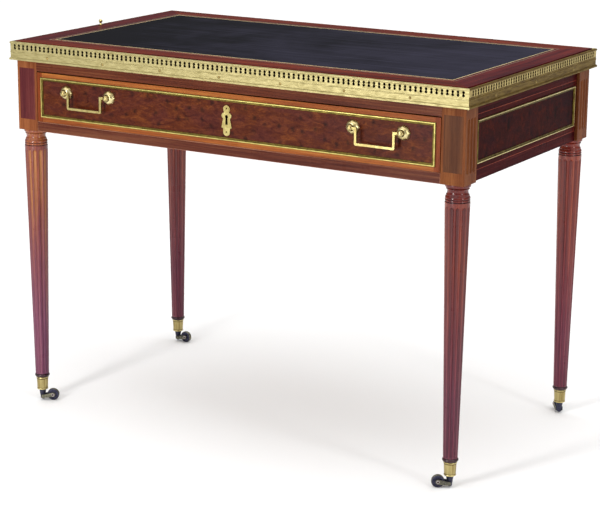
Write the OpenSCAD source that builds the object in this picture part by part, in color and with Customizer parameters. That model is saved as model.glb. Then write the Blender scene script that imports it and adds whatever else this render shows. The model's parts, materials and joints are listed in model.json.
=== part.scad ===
// Writing table: four fluted legs on brass-shod casters, one frieze drawer with a lock,
// and a leather-lined top panel that lifts out of a pierced brass gallery.
// Millimetres. The front faces -Y, the floor is z = 0, and the origin is under the middle.

/* [Overall] */
// Width over the flat face of the gallery
table_w = 1010; // [900:1:1200]
// Depth over the flat face of the gallery
table_d = 562; // [500:1:640]
// Height from the floor to the top of the gallery
table_h = 750; // [700:1:800]
// Height of the frieze and of the block at the head of each leg
frieze_h = 140.5; // [130:0.5:160]

/* [Leg block] */
// Side of the square block
block_w = 47.4; // [44:0.1:56]
// Step from the gallery's flat face back to the face of the block
block_inset = 8.9; // [4:0.1:14]
// Flutes on the outer side face of the block
block_flutes = 3; // [1:1:3]
// Distance between neighbouring block flutes
block_flute_pitch = 12; // [9:0.1:13]
// Width of a block flute
block_flute_w = 8; // [5:0.1:8.6]
// Depth of a block flute
block_flute_depth = 2.4; // [1:0.1:3]
// Plain wood above and below the block flutes
block_flute_margin = 20.5; // [12:0.5:30]

/* [Leg turning] */
// Diameter of the disc under the block
disc_d = 47; // [44:0.1:47.4]
// Thickness of the disc
disc_h = 6.5; // [5:0.1:9]
// Diameter of the hollow neck
neck_d = 38; // [32:0.1:40]
// Height of the hollow neck
neck_h = 14.5; // [12:0.1:18]
// Diameter over the two rings under the neck
ring_d = 45.6; // [43:0.1:46]
// Height of the upper ring
upper_ring_h = 6.2; // [5:0.1:8]
// Height of the lower ring
lower_ring_h = 4.6; // [3:0.1:6]
// Height of the fine groove under each ring
groove_h = 0.9; // [0.5:0.1:1.5]
// Depth of the fine groove under each ring
groove_depth = 1.6; // [0.8:0.1:2.4]
// Diameter of the shaft at its top
shaft_top_d = 46.2; // [43:0.1:47]
// Diameter of the shaft above its foot collar
shaft_foot_d = 27.4; // [25:0.1:30]
// Flutes round the shaft
shaft_flutes = 12; // [8:1:12]
// Width of a shaft flute at the top of the shaft
shaft_flute_w = 9.2; // [6:0.1:9.6]
// Depth of a shaft flute at the top of the shaft
shaft_flute_depth = 3; // [1.5:0.1:3.2]
// Plain wood between the lower ring and the flutes
shaft_flute_margin = 7; // [4:0.1:14]
// Diameter of the collar at the foot of the shaft
collar_d = 30.5; // [28:0.1:34]
// Height of the collar
collar_h = 6; // [5:0.1:8]

/* [Sabots] */
// Height of the brass cup
sabot_h = 27; // [22:0.5:34]
// Diameter of the cup at its mouth
sabot_top_d = 24.7; // [23:0.1:27]
// Diameter of the cup at its foot
sabot_foot_d = 21.3; // [19:0.1:23]
// Wall of the cup
sabot_wall = 1.2; // [0.8:0.1:2]
// Diameter of the round wire at the mouth and the foot
sabot_wire_d = 2.8; // [2:0.1:3.4]

/* [Casters] */
// Height of the caster under the cup
caster_h = 24; // [22:0.5:30]
// Diameter of the wheel
wheel_d = 24.6; // [20:0.1:28]
// Thickness of the wheel
wheel_t = 9; // [7:0.1:11]
// Distance from the swivel axis to the wheel's axle
caster_trail = 22; // [21:0.1:24]
// Diameter of the axle
axle_d = 4; // [3:0.1:5]
// Diameter of the swivel stem
stem_d = 8; // [6:0.1:9]
// Length of the stem above the foot of the cup
stem_l = 46; // [30:1:60]
// Diameter of the horn where it meets the cup
horn_top_d = 13; // [11:0.1:16]
// Diameter of the horn at its lower end
horn_foot_d = 7; // [5:0.1:9]
// Height of the horn's lower end above the floor
horn_clearance = 2; // [1:0.1:4]
// Height above the floor of the boss that joins the cheeks
horn_boss_z = 5; // [3:0.1:7]
// Thickness of a cheek
cheek_t = 2.5; // [2:0.1:3]
// Diameter of a cheek's round end
cheek_eye_d = 9.2; // [8:0.1:11]
// Diameter of the axle's riveted heads
axle_head_d = 6.4; // [5.6:0.1:8]
// Height of the axle's riveted heads
axle_head_h = 1.1; // [0.6:0.1:1.6]
// Radius of the rounded edges of the tread
tread_edge_r = 2.4; // [1:0.1:3]
// Diameter of the wheel's hub
wheel_hub_d = 8.8; // [7:0.1:10]
// Width of the wheel's rim inside the tread
wheel_rim_w = 3.4; // [2.6:0.1:4.4]
// Depth that the web is sunk on each side
web_sink = 1.4; // [0.6:0.1:2]

/* [Rails and aprons] */
// Height of the rail over the drawer
top_rail_h = 19.5; // [16:0.1:24]
// Height of the rail under the drawer
bottom_rail_h = 20; // [16:0.1:24]
// Thickness of the side and back aprons
apron_t = 20; // [16:0.5:22]
// Step from the block's face back to the apron's face
apron_setback = 6; // [3:0.1:9]
// Thickness of a tenon
tenon_t = 10; // [6:0.1:12]
// Length of a tenon
tenon_l = 18; // [12:0.1:20]
// Width of the tenon on a front rail
rail_tenon_w = 22; // [14:0.5:30]
// Shoulder above and below the tenon of an apron
tenon_shoulder = 14; // [8:0.5:24]
// Width of the ledge that carries the drawer side, inwards from the block
runner_ledge_w = 24; // [16:1:40]
// Height of the drawer guide above the ledge
guide_h = 26; // [15:1:40]
// Width of the kicker, inwards from the block
kicker_w = 20; // [14:1:40]
// Length of each drawer stop
stop_l = 60; // [30:1:100]
// Thickness of the drawer stops, front to back
stop_t = 16; // [10:1:24]
// Height of the drawer stops
stop_h = 7; // [4:0.5:8]
// Distance of each stop from the middle
stop_x = 250; // [120:1:320]
// Side of the glue blocks in the back corners
glue_block_w = 20; // [14:0.5:21]

/* [Drawer] */
// Gap between each end of the drawer front and its opening
drawer_gap = 1.5; // [0.8:0.1:3]
// Gap over the drawer front
drawer_top_gap = 2.4; // [1:0.1:3]
// Gap under the drawer front
drawer_foot_gap = 0.6; // [0.4:0.1:2]
// Thickness of the drawer front
drawer_front_t = 20; // [18:0.5:24]
// Thickness of the drawer sides and back
drawer_side_t = 12; // [10:0.5:14]
// Space between the end of the closed drawer and the back apron
drawer_end_gap = 46.2; // [30:0.1:140]
// Gap over the drawer sides
drawer_head_gap = 4; // [2:0.5:10]
// Thickness of the drawer bottom
drawer_bottom_t = 6; // [5:0.1:9]
// Height of the drawer bottom above the edge of the sides
drawer_bottom_rise = 10; // [9:0.5:16]
// Depth of the groove that holds the drawer bottom
bottom_groove = 6; // [3:0.1:7]
// Distance from the drawer back to the end of the sides
drawer_back_inset = 8; // [0:0.5:30]
// Depth of the housing for the drawer back
back_housing = 4; // [2:0.1:6]
// Dovetails at each front corner
dovetails = 3; // [2:1:4]
// Length of the dovetails
dovetail_l = 12; // [8:0.5:14]
// Width of a dovetail at its wide end
dovetail_w = 18; // [10:0.5:20]

/* [Brass mouldings] */
// Width of the moulding strip
moulding_w = 6; // [4:0.1:8]
// Thickness of the flat of the moulding strip
moulding_t = 1.2; // [0.8:0.1:2]
// Diameter of the bead along the moulding strip
moulding_bead_d = 3.6; // [2.4:0.1:4]
// Height worn off the crest of the bead
moulding_crest_cut = 0.05; // [0.02:0.01:0.2]
// Margin of wood round the moulding on the drawer front
moulding_margin = 9; // [6:0.1:14]

/* [Handles] */
// Distance from the end of the drawer front to the middle of its handle
handle_inset = 124.7; // [90:0.1:240]
// Height of the handle's pivots above the middle of the drawer front
handle_rise = 15; // [5:0.5:20]
// Distance between the two bosses of a handle
boss_span = 103; // [90:0.5:120]
// Diameter over the petals of a boss
boss_d = 29; // [26:0.1:32]
// Height of the boss's dome
boss_dome_h = 9.5; // [8:0.1:9.8]
// Petals round a boss
boss_petals = 8; // [6:1:10]
// Diameter of the knob on a boss
boss_knob_d = 12; // [10:0.1:13]
// Height of the knob above the drawer front
boss_knob_h = 17; // [16:0.1:20]
// Diameter of the threaded post behind a boss
boss_post_d = 5; // [4:0.1:6]
// Distance from the drawer front to the pivot of the bail
bail_standoff = 12.5; // [12:0.1:14]
// Side of the bail's square bar
bail_bar = 4.5; // [3.5:0.1:5]
// Distance between the bail's upright arms, middle to middle
bail_w = 78; // [68:0.5:82]
// Drop from the pivot to the middle of the grip
bail_drop = 28.5; // [22:0.5:32]
// Outer radius of the bail's lower corners
bail_corner_r = 3.5; // [2:0.1:6]
// Diameter of the bail's pivot pins
bail_pin_d = 4; // [3:0.1:4.4]
// Length of the pivot pin inside the knob
bail_pin_l = 4; // [2.5:0.1:5]
// Side of the square nuts
nut_w = 10; // [8:0.5:12]
// Thickness of the square nuts
nut_t = 4; // [3:0.1:6]

/* [Keyhole plate] */
// Thickness of the keyhole plate
escutcheon_t = 1.6; // [1:0.1:3]
// Width over the plate's ears and over its flared foot
plate_w = 22; // [20:0.1:26]
// Width of the plate's waist
plate_waist_w = 16; // [14:0.1:18]
// Diameter of the round head and the round foot
plate_end_d = 14.8; // [12:0.1:16]
// Diameter of an ear
plate_ear_d = 11.2; // [9:0.1:12]
// Top of the plate above the keyhole's round part
plate_head_up = 22; // [20:0.1:24]
// Foot of the plate below the keyhole's round part
plate_foot_down = 36.4; // [34:0.1:38]
// Height of the upper pin above the keyhole's round part
plate_pin_up = 16; // [13:0.1:18]
// Depth of the lower pin below the keyhole's round part
plate_pin_down = 29; // [26:0.1:31]
// Diameter of the plate's pins
plate_pin_d = 2; // [1.4:0.1:3]
// Length of the plate's pins behind the plate
plate_pin_l = 9; // [6:0.5:12]

/* [Keyhole and lock] */
// Height of the keyhole's round part above the middle of the drawer front
keyhole_rise = 5.5; // [2:0.1:8]
// Diameter of the keyhole's round part
keyhole_d = 6.6; // [5:0.1:7]
// Width of the keyhole's slot at its foot
keyhole_slot_w = 5; // [3:0.1:6]
// Length of the keyhole's slot below the round part
keyhole_slot_l = 15; // [12:0.1:16]
// Width of the lock case
lock_w = 60; // [50:0.5:70]
// Height of the lock case
lock_h = 62; // [60:0.5:70]
// Thickness of the lock case
lock_t = 11; // [10:0.1:13]
// Depth that the lock case is let into the drawer front
lock_recess = 9; // [6:0.1:9.5]
// Wall of the lock case
lock_wall = 1.6; // [1:0.1:2.2]
// Width of the bolt
bolt_w = 22; // [14:0.1:26]
// Height of the bolt
bolt_h = 28; // [20:0.1:30]
// Throw of the bolt
bolt_throw = 8; // [5:0.1:9]
// Diameter of the lock's screws
lock_screw_d = 2.4; // [2:0.1:3]
// Length of the lock's screws
lock_screw_l = 16; // [13:0.5:18]
// Distance of the lock's screws from the edges of its case
lock_screw_margin = 6; // [4:0.5:8]

/* [Gallery] */
// Height of the gallery strip
gallery_h = 36.5; // [34:0.1:42]
// Thickness of the gallery strip
gallery_t = 2.5; // [2:0.1:3.2]
// Diameter of the rounded rail on its top edge
gallery_rail_d = 5; // [4:0.1:5.6]
// Distance between the pierced openings
gallery_pitch = 10.4; // [9:0.1:14]
// Height of the pierced openings
opening_h = 11; // [9:0.1:12]
// Width of an opening at its round ends
opening_lobe_d = 5.4; // [4:0.1:6]
// Width of an opening at its waist
opening_waist = 2.8; // [1.6:0.1:3.6]
// Plain end of a strip before its first opening
gallery_margin = 11; // [9:0.1:16]
// Diameter of the fine bead under the openings
gallery_bead_d = 2.5; // [1.6:0.1:3]
// Distance from the top of the gallery to the fine bead
gallery_bead_drop = 21.2; // [20:0.1:22]
// Height of the lip along the lower edge
lip_h = 4.5; // [3:0.1:6]
// How far the lip stands out from the flat face
lip_out = 2.2; // [1:0.1:3]

/* [Top] */
// Thickness of the fixed sub-top
sub_top_t = 17.5; // [14:0.1:20]
// Gap between the gallery and the edge of the lift-out panel
panel_gap = 4; // [1:0.1:8]
// How far the panel stands above the gallery
panel_proud = 0.8; // [0:0.1:3]
// Mahogany border from the edge of the panel to the leather
border_w = 58; // [50:1:90]
// Thickness of the leather
leather_t = 1.5; // [1:0.1:3]
// Width of the brass line along the leather
line_w = 2; // [1:0.1:3]
// Width of the fine outer line
fine_line_w = 1; // [0.5:0.1:2]
// Distance from the leather to the fine outer line
fine_line_out = 9; // [6:0.1:16]
// Depth of the inlaid lines
line_depth = 1.5; // [1:0.1:3]
// Diameter of the ball on the lifting knob
knob_ball_d = 8; // [6:0.1:10]
// Height of the lifting knob above the panel
knob_h = 12; // [10:0.1:15]
// Distance of the knob from the edge of the panel
knob_inset = 7; // [5:0.1:20]

/* [Screws] */
// Diameter of a wood screw's shank
screw_d = 4; // [3:0.1:5]
// Length of a wood screw
screw_l = 30; // [27:0.5:34]
// Diameter of a wood screw's head
screw_head_d = 8; // [6:0.1:9]
// Distance between the end screws of a kicker, and half of that distance on the front rail
screw_span = 360; // [200:1:380]
// Diameter of a gallery screw's domed head
pin_head_d = 5.6; // [4:0.1:6]
// Height of a gallery screw's domed head
pin_head_h = 1.2; // [0.8:0.1:2]
// Diameter of a gallery screw's shank
pin_d = 2.4; // [1.6:0.1:3]
// Length of a gallery screw's shank
pin_l = 12; // [8:0.1:16]
// Screws along the front and back of the gallery
front_pins = 7; // [3:1:7]
// Distance between the front and back gallery screws
front_pin_pitch = 134; // [100:1:140]
// Screws along each side of the gallery
side_pins = 3; // [1:1:3]
// Distance between the side gallery screws
side_pin_pitch = 172; // [120:1:200]

/* [Fits] */
// Gap on each side of a pin or shaft that turns in its hole
running_fit = 0.05; // [0.02:0.01:0.1]
// Gap between two pieces that slide or lift past each other
slide_gap = 0.3; // [0.2:0.05:1]
// Glue gap at the end of a tenon, a groove or a housing
glue_gap = 0.2; // [0.1:0.05:1]

/* [Hidden] */
$fn = 48;
eps = 0.01;
flute_end_lap = 0.05;

// Heights
frieze_top = table_h - gallery_h;
frieze_bottom = frieze_top - frieze_h;
bay_top = frieze_top - top_rail_h;
bay_bottom = frieze_bottom + bottom_rail_h;

// Plan, from the middle of the table outwards
half_w = table_w / 2;
half_d = table_d / 2;
block_x = half_w - block_inset;
block_y = half_d - block_inset;
leg_x = block_x - block_w / 2;
leg_y = block_y - block_w / 2;
bay_x = block_x - block_w;
bay_y = block_y - block_w;
apron_x = block_x - apron_setback - apron_t;
apron_y = block_y - apron_setback - apron_t;
side_tenon_off = block_w / 2 - apron_setback - apron_t / 2;
top_x = half_w - gallery_t;
top_y = half_d - gallery_t;

// Turning heights, downwards from the block
neck_z = frieze_bottom - disc_h - neck_h;
upper_ring_z = neck_z - upper_ring_h + groove_h;
lower_ring_z = upper_ring_z - groove_h - lower_ring_h;
shaft_top_z = lower_ring_z - groove_h;
sabot_top_z = caster_h + sabot_h;
shaft_foot_z = sabot_top_z + collar_h + 2 * groove_h;
flute_top_z = shaft_top_z - shaft_flute_margin;

// Radius of the round cutter that makes a flute of a given width and depth
function flute_r(w, d) = (w * w / 4 + d * d) / (2 * d);
// Radius of the tapered shaft at a height
function shaft_r(z) = (shaft_foot_d + (shaft_top_d - shaft_foot_d) * (z - shaft_foot_z)
    / (shaft_top_z - shaft_foot_z)) / 2;
// Outer radius of the cup at a height
function sabot_r(z) = (sabot_foot_d + (sabot_top_d - sabot_foot_d) * (z - caster_h) / sabot_h) / 2;

// Drawer
drawer_x = bay_x - drawer_gap;
drawer_z0 = bay_bottom + drawer_foot_gap;
drawer_z1 = bay_top - drawer_top_gap;
drawer_mid_z = (drawer_z0 + drawer_z1) / 2;
drawer_face_y = -block_y;
drawer_inner_y = drawer_face_y + drawer_front_t;
drawer_end_y = apron_y - drawer_end_gap;
drawer_side_z0 = bay_bottom + slide_gap;
drawer_side_z1 = bay_top - drawer_head_gap;
drawer_bottom_z = drawer_side_z0 + drawer_bottom_rise;
drawer_in_x = drawer_x - drawer_side_t;

// Mouldings
moulding_h = drawer_z1 - drawer_z0 - 2 * moulding_margin;
apron_moulding_z = (bay_top + bay_bottom) / 2;
moulding_half = drawer_x - moulding_margin;

// Handles
handle_x = drawer_x - handle_inset;
handle_z = drawer_mid_z + handle_rise;
boss_sides = [-1, 1];
bail_in = (bail_w - bail_bar) / 2;
bail_out = (bail_w + bail_bar) / 2;
knob_face = (boss_span - boss_knob_d) / 2;

// Keyhole and lock
key_z = drawer_mid_z + keyhole_rise;
lock_z0 = drawer_z1 - lock_h;
lock_y0 = drawer_inner_y - lock_recess;
bolt_t = lock_t - 2 * lock_wall - 2 * slide_gap;
bolt_z0 = drawer_z1 - slide_gap - bolt_h;

// Top
panel_x = top_x - panel_gap;
panel_y = top_y - panel_gap;
panel_z0 = frieze_top + sub_top_t + slide_gap;
panel_z1 = table_h + panel_proud;
leather_x = panel_x - border_w;
leather_y = panel_y - border_w;
front_pin_shift = -12;
pin_z = frieze_top + (lip_h + gallery_h - gallery_bead_drop - gallery_bead_d / 2) / 2;

// Resting direction of each caster, from the swivel to the wheel
turn_front_left = 28;
turn_front_right = 212;
turn_back_left = 0;
turn_back_right = 126;

mahogany = [0.42, 0.2, 0.14];
oak = [0.68, 0.52, 0.34];
brass = [0.84, 0.72, 0.42];
iron = [0.16, 0.17, 0.22];
hide = [0.19, 0.18, 0.22];

// A box between two corners
module span(lo, hi) {
    translate(lo) cube(hi - lo);
}

// Cuts or bars along X from a profile drawn in (Y, Z)
module along_x(l) {
    rotate([90, 0, 90]) linear_extrude(l, center = true) children();
}

// A plate drawn in (X, Z), from y = 0 back to y = t
module facing_front(t) {
    translate([0, t, 0]) rotate([90, 0, 0]) linear_extrude(t) children();
}

// The same for several outlines that overlap, each made a plate before they are joined
module each_facing_front(t) {
    for (i = [0:$children - 1]) facing_front(t) children(i);
}

// Straight length of a flute's cutter, between two points given as [x, z, radius]
module flute_length(lo, hi) {
    lean = atan((hi[0] - lo[0]) / (hi[1] - lo[1]));
    translate([lo[0], 0, lo[1]]) rotate([0, lean, 0])
        cylinder(h = norm([hi[0] - lo[0], hi[1] - lo[1]]), r1 = lo[2], r2 = hi[2]);
}

// Round ends of the same cutter, a hair larger so that they leave a clean edge
module flute_ends(lo, hi) {
    for (end = [lo, hi]) translate([end[0], 0, end[1]]) sphere(end[2] + flute_end_lap);
}

// Half outline of the turned part of a leg, from the foot tenon up to the block
module leg_outline() {
    disc_r = disc_d / 2;
    disc_round = disc_h * 0.6;
    neck_round = neck_h * 0.55;
    neck_edge = ring_d / 2 - groove_depth;
    // Disc with a rounded lower edge
    translate([0, frieze_bottom - disc_h]) {
        square([disc_r - disc_round, disc_h]);
        translate([0, disc_round]) square([disc_r, disc_h - disc_round + eps]);
        translate([disc_r - disc_round, disc_round]) circle(disc_round);
    }
    // Hollow neck
    difference() {
        translate([0, neck_z - eps]) square([neck_edge, neck_h + 2 * eps]);
        translate([neck_d / 2 + neck_round, neck_z + neck_h / 2]) circle(neck_round);
    }
    // Upper ring, rounded above and square below
    intersection() {
        translate([ring_d / 2 - upper_ring_h, upper_ring_z + groove_h]) circle(upper_ring_h);
        translate([0, upper_ring_z]) square([ring_d, upper_ring_h * 2]);
    }
    translate([0, upper_ring_z]) square([ring_d / 2 - upper_ring_h, upper_ring_h]);
    // Lower ring
    translate([ring_d / 2 - lower_ring_h / 2, lower_ring_z + lower_ring_h / 2]) circle(d = lower_ring_h);
    translate([0, lower_ring_z]) square([ring_d / 2 - lower_ring_h / 2, lower_ring_h]);
    // Core behind the fine grooves
    translate([0, shaft_top_z - eps])
        square([ring_d / 2 - groove_depth, upper_ring_z - shaft_top_z + 2 * eps]);
    // Shaft
    polygon([[0, shaft_foot_z], [shaft_foot_d / 2, shaft_foot_z],
        [shaft_top_d / 2, shaft_top_z], [0, shaft_top_z]]);
    // Collar and the grooves over and under it
    translate([0, sabot_top_z]) square([shaft_foot_d / 2 - groove_depth, shaft_foot_z - sabot_top_z + eps]);
    translate([0, sabot_top_z + groove_h]) square([(collar_d - collar_h) / 2, collar_h]);
    translate([(collar_d - collar_h) / 2, sabot_top_z + groove_h + collar_h / 2]) circle(d = collar_h);
    // Foot that fills the cup
    foot_z = caster_h + sabot_wall + glue_gap;
    polygon([[0, foot_z], [sabot_r(foot_z) - sabot_wall - running_fit, foot_z],
        [sabot_r(sabot_top_z) - sabot_wall - running_fit, sabot_top_z + eps], [0, sabot_top_z + eps]]);
}

// One child for each flute of the shaft
module round_the_shaft() {
    for (i = [0:shaft_flutes - 1]) rotate([0, 0, (i + 0.5) * 360 / shaft_flutes]) children();
}

// One child for each flute of the block
module across_the_block() {
    for (i = [0:block_flutes - 1])
        translate([0, (i - (block_flutes - 1) / 2) * block_flute_pitch, 0]) children();
}

// One leg with its block, mortised for the rails and aprons that meet it
module leg(sx, sy) {
    cutter = flute_r(shaft_flute_w, shaft_flute_depth) / (shaft_top_d / 2);
    axis_out = 1 + cutter - shaft_flute_depth / (shaft_top_d / 2);
    upper_z = flute_top_z - cutter * shaft_r(flute_top_z);
    lower_z = shaft_foot_z + cutter * shaft_r(shaft_foot_z);
    shaft_lo = [axis_out * shaft_r(lower_z), lower_z, cutter * shaft_r(lower_z)];
    shaft_hi = [axis_out * shaft_r(upper_z), upper_z, cutter * shaft_r(upper_z)];
    side_cutter = flute_r(block_flute_w, block_flute_depth);
    side_out = block_w / 2 + side_cutter - block_flute_depth;
    side_end = block_flute_margin + block_flute_w / 2;
    side_lo = [side_out, frieze_bottom + side_end, side_cutter];
    side_hi = [side_out, frieze_top - side_end, side_cutter];
    color(mahogany)
    translate([sx * leg_x, sy * leg_y, 0]) mirror([sx < 0 ? 1 : 0, 0, 0]) difference() {
        union() {
            span([-block_w / 2, -block_w / 2, frieze_bottom], [block_w / 2, block_w / 2, frieze_top]);
            rotate_extrude() leg_outline();
        }
        // Flutes round the shaft
        round_the_shaft() flute_length(shaft_lo, shaft_hi);
        round_the_shaft() flute_ends(shaft_lo, shaft_hi);
        // Flutes on the outer side face
        across_the_block() flute_length(side_lo, side_hi);
        across_the_block() flute_ends(side_lo, side_hi);
        // Mortise for the side apron
        translate([side_tenon_off, -sy * block_w / 2, frieze_bottom + frieze_h / 2])
            cube([tenon_t, 2 * (tenon_l + glue_gap), frieze_h - 2 * tenon_shoulder], center = true);
        // Mortises for the front rails, or for the back apron
        if (sy < 0) {
            for (z = [frieze_top - top_rail_h / 2, frieze_bottom + bottom_rail_h / 2])
                translate([-block_w / 2, 0, z])
                    cube([2 * (tenon_l + glue_gap), rail_tenon_w, tenon_t], center = true);
        } else {
            translate([-block_w / 2, side_tenon_off, frieze_bottom + frieze_h / 2])
                cube([2 * (tenon_l + glue_gap), tenon_t, frieze_h - 2 * tenon_shoulder], center = true);
        }
        // Bore for the caster's stem
        cylinder(h = caster_h + stem_l + slide_gap, d = stem_d + 2 * running_fit);
    }
}

// Brass cup on the foot of a leg
module sabot(sx, sy) {
    floor_z = caster_h + sabot_wall;
    mouth_r = sabot_top_d / 2 - sabot_wall;
    color(brass) translate([sx * leg_x, sy * leg_y, 0]) difference() {
        rotate_extrude() {
            polygon([[0, caster_h], [sabot_foot_d / 2, caster_h],
                [sabot_top_d / 2, sabot_top_z], [0, sabot_top_z]]);
            for (z = [caster_h + sabot_wire_d / 2, sabot_top_z - sabot_wire_d / 2])
                translate([sabot_r(z) - sabot_wire_d / 4, z]) circle(d = sabot_wire_d);
        }
        rotate_extrude() polygon([[0, floor_z], [sabot_r(floor_z) - sabot_wall, floor_z],
            [mouth_r, sabot_top_z], [mouth_r, sabot_top_z + 1], [0, sabot_top_z + 1]]);
        translate([0, 0, caster_h - 1]) cylinder(h = sabot_h, d = stem_d + 2 * running_fit);
    }
}

// Puts a caster piece under its leg, turned to its resting direction
module under_leg(sx, sy, turn) {
    translate([sx * leg_x, sy * leg_y, 0]) rotate([0, 0, turn]) children();
}

// Stem, horn and the two cheeks that hold the wheel
module caster_fork() {
    cheek_y = wheel_t / 2 + slide_gap;
    boss_r = cheek_y + cheek_t;
    boss_z1 = wheel_d / 2;
    color(iron) difference() {
        union() {
            translate([0, 0, boss_z1]) cylinder(h = caster_h + stem_l - boss_z1, d = stem_d);
            translate([0, 0, horn_clearance])
                cylinder(h = caster_h - slide_gap - horn_clearance, d1 = horn_foot_d, d2 = horn_top_d);
            translate([0, 0, horn_boss_z]) cylinder(h = boss_z1 - horn_boss_z, r = boss_r);
            for (s = [-1, 1])
                translate([0, s * (cheek_y + cheek_t / 2) - cheek_t / 2, 0]) facing_front(cheek_t) {
                    translate([caster_trail, wheel_d / 2]) circle(d = cheek_eye_d);
                    polygon([[0, horn_boss_z], [caster_trail, (wheel_d - cheek_eye_d) / 2],
                        [caster_trail, (wheel_d + cheek_eye_d) / 2], [0, boss_z1]]);
                }
        }
        translate([caster_trail, 0, wheel_d / 2]) rotate([90, 0, 0])
            cylinder(h = 4 * boss_r, d = axle_d + 2 * running_fit, center = true);
    }
}

// Riveted axle with a head outside each cheek
module caster_axle() {
    reach = wheel_t / 2 + slide_gap + cheek_t;
    color(iron) translate([caster_trail, 0, wheel_d / 2]) rotate([90, 0, 0]) {
        cylinder(h = 2 * reach + eps, d = axle_d, center = true);
        for (s = [-1, 1]) translate([0, 0, s * (reach + axle_head_h / 2)])
            cylinder(h = axle_head_h, d = axle_head_d, center = true);
    }
}

// Iron wheel with a rounded tread and a sunk web
module caster_wheel() {
    edge_x = wheel_d / 2 - tread_edge_r;
    web_w = wheel_d / 2 - wheel_rim_w - wheel_hub_d / 2;
    color(iron) translate([caster_trail, 0, wheel_d / 2]) rotate([90, 0, 0]) rotate_extrude() difference() {
        union() {
            translate([0, -wheel_t / 2]) square([edge_x, wheel_t]);
            translate([0, tread_edge_r - wheel_t / 2]) square([wheel_d / 2, wheel_t - 2 * tread_edge_r]);
            for (s = [-1, 1]) translate([edge_x, s * (wheel_t / 2 - tread_edge_r)]) circle(tread_edge_r);
        }
        translate([-1, -wheel_t]) square([1 + axle_d / 2 + running_fit, 2 * wheel_t]);
        for (s = [-1, 1]) translate([wheel_hub_d / 2, s * wheel_t / 2 - web_sink])
            square([web_w, 2 * web_sink]);
    }
}

// Rail between the front blocks, tenoned into them
module front_rail(z0, h) {
    span([-bay_x, -block_y, z0], [bay_x, -bay_y, z0 + h]);
    for (s = [-1, 1]) translate([s * (bay_x + tenon_l / 2), -leg_y, z0 + h / 2])
        cube([tenon_l + eps, rail_tenon_w, tenon_t], center = true);
}

// Screws along the front rail, clear of the lock, and along the kickers, as places in plan
kicker_screw_x = bay_x - kicker_w / 2;
screw_places = concat([for (i = [-3:2:3]) [i * screw_span / 3, -leg_y]],
    [for (s = [-1, 1], i = [-1:1]) [s * kicker_screw_x, i * screw_span / 2]]);
screw_head_h = (screw_head_d - screw_d) / 2;

// Wood screw pointing up, with its countersunk head at z = 0
module wood_screw(l) {
    cylinder(h = screw_head_h, d1 = screw_head_d, d2 = screw_d);
    cylinder(h = l, d = screw_d);
}

// All the screws that hold the sub-top down
module all_top_screws() {
    for (p = screw_places) translate([p.x, p.y, bay_top]) wood_screw(screw_l);
}

module front_top_rail() {
    color(mahogany) difference() {
        front_rail(bay_top, top_rail_h);
        all_top_screws();
        // Mortise for the bolt of the drawer lock
        translate([0, lock_y0 + lock_t / 2, bay_top])
            cube([bolt_w + 2 * slide_gap, bolt_t + 4 * slide_gap, 2 * (bolt_throw + slide_gap)],
                center = true);
    }
}

module front_bottom_rail() {
    color(mahogany) front_rail(frieze_bottom, bottom_rail_h);
}

module side_apron(s) {
    color(mahogany) mirror([s < 0 ? 1 : 0, 0, 0]) {
        span([apron_x, -bay_y, frieze_bottom], [apron_x + apron_t, bay_y, frieze_top]);
        translate([apron_x + apron_t / 2, 0, frieze_bottom + frieze_h / 2])
            cube([tenon_t, 2 * (bay_y + tenon_l), frieze_h - 2 * tenon_shoulder], center = true);
    }
}

module back_apron() {
    color(mahogany) {
        span([-bay_x, apron_y, frieze_bottom], [bay_x, apron_y + apron_t, frieze_top]);
        translate([0, apron_y + apron_t / 2, frieze_bottom + frieze_h / 2])
            cube([2 * (bay_x + tenon_l), tenon_t, frieze_h - 2 * tenon_shoulder], center = true);
    }
}

// Ledge and guide for one side of the drawer, glued to the side apron
module drawer_runner(s) {
    color(oak) mirror([s < 0 ? 1 : 0, 0, 0]) {
        span([bay_x - runner_ledge_w, -bay_y, frieze_bottom], [apron_x, bay_y, bay_bottom]);
        span([bay_x, -bay_y, bay_bottom - eps], [apron_x, bay_y, bay_bottom + guide_h]);
    }
}

// Strip that keeps the open drawer from tipping
module drawer_kicker(s) {
    color(oak) difference() {
        mirror([s < 0 ? 1 : 0, 0, 0])
            span([bay_x - kicker_w, -bay_y, bay_top], [apron_x, bay_y, frieze_top]);
        all_top_screws();
    }
}

// Blocks on the bottom rail that the closed drawer front rests against
module drawer_stops() {
    stop_y = drawer_inner_y + slide_gap;
    color(oak) for (s = [-1, 1])
        translate([s * stop_x - stop_l / 2, stop_y, bay_bottom]) cube([stop_l, stop_t, stop_h]);
}

// Glue blocks in the angles of the back apron and the back blocks
module corner_blocks() {
    color(oak) for (s = [-1, 1]) mirror([s < 0 ? 1 : 0, 0, 0])
        translate([bay_x, apron_y, frieze_bottom + tenon_shoulder])
            linear_extrude(frieze_h - 2 * tenon_shoulder)
                polygon([[0, 0], [-glue_block_w, 0], [0, -glue_block_w]]);
}

// Centres of the gallery screws, in the frame of a strip whose flat face is y = 0
module gallery_pins(n, pitch, shift) {
    for (i = [0:n - 1]) translate([(i - (n - 1) / 2) * pitch + shift, 0, pin_z - frieze_top]) children();
}

// Puts a strip on a side of the table: 0 front, 1 right, 2 back, 3 left
module on_side(side) {
    rotate([0, 0, side * 90]) translate([0, side % 2 == 0 ? -half_d : -half_w, frieze_top]) children();
}

module front_pin_row() {
    gallery_pins(front_pins, front_pin_pitch, front_pin_shift) children();
}

module side_pin_row() {
    gallery_pins(side_pins, side_pin_pitch, 0) children();
}

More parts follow.
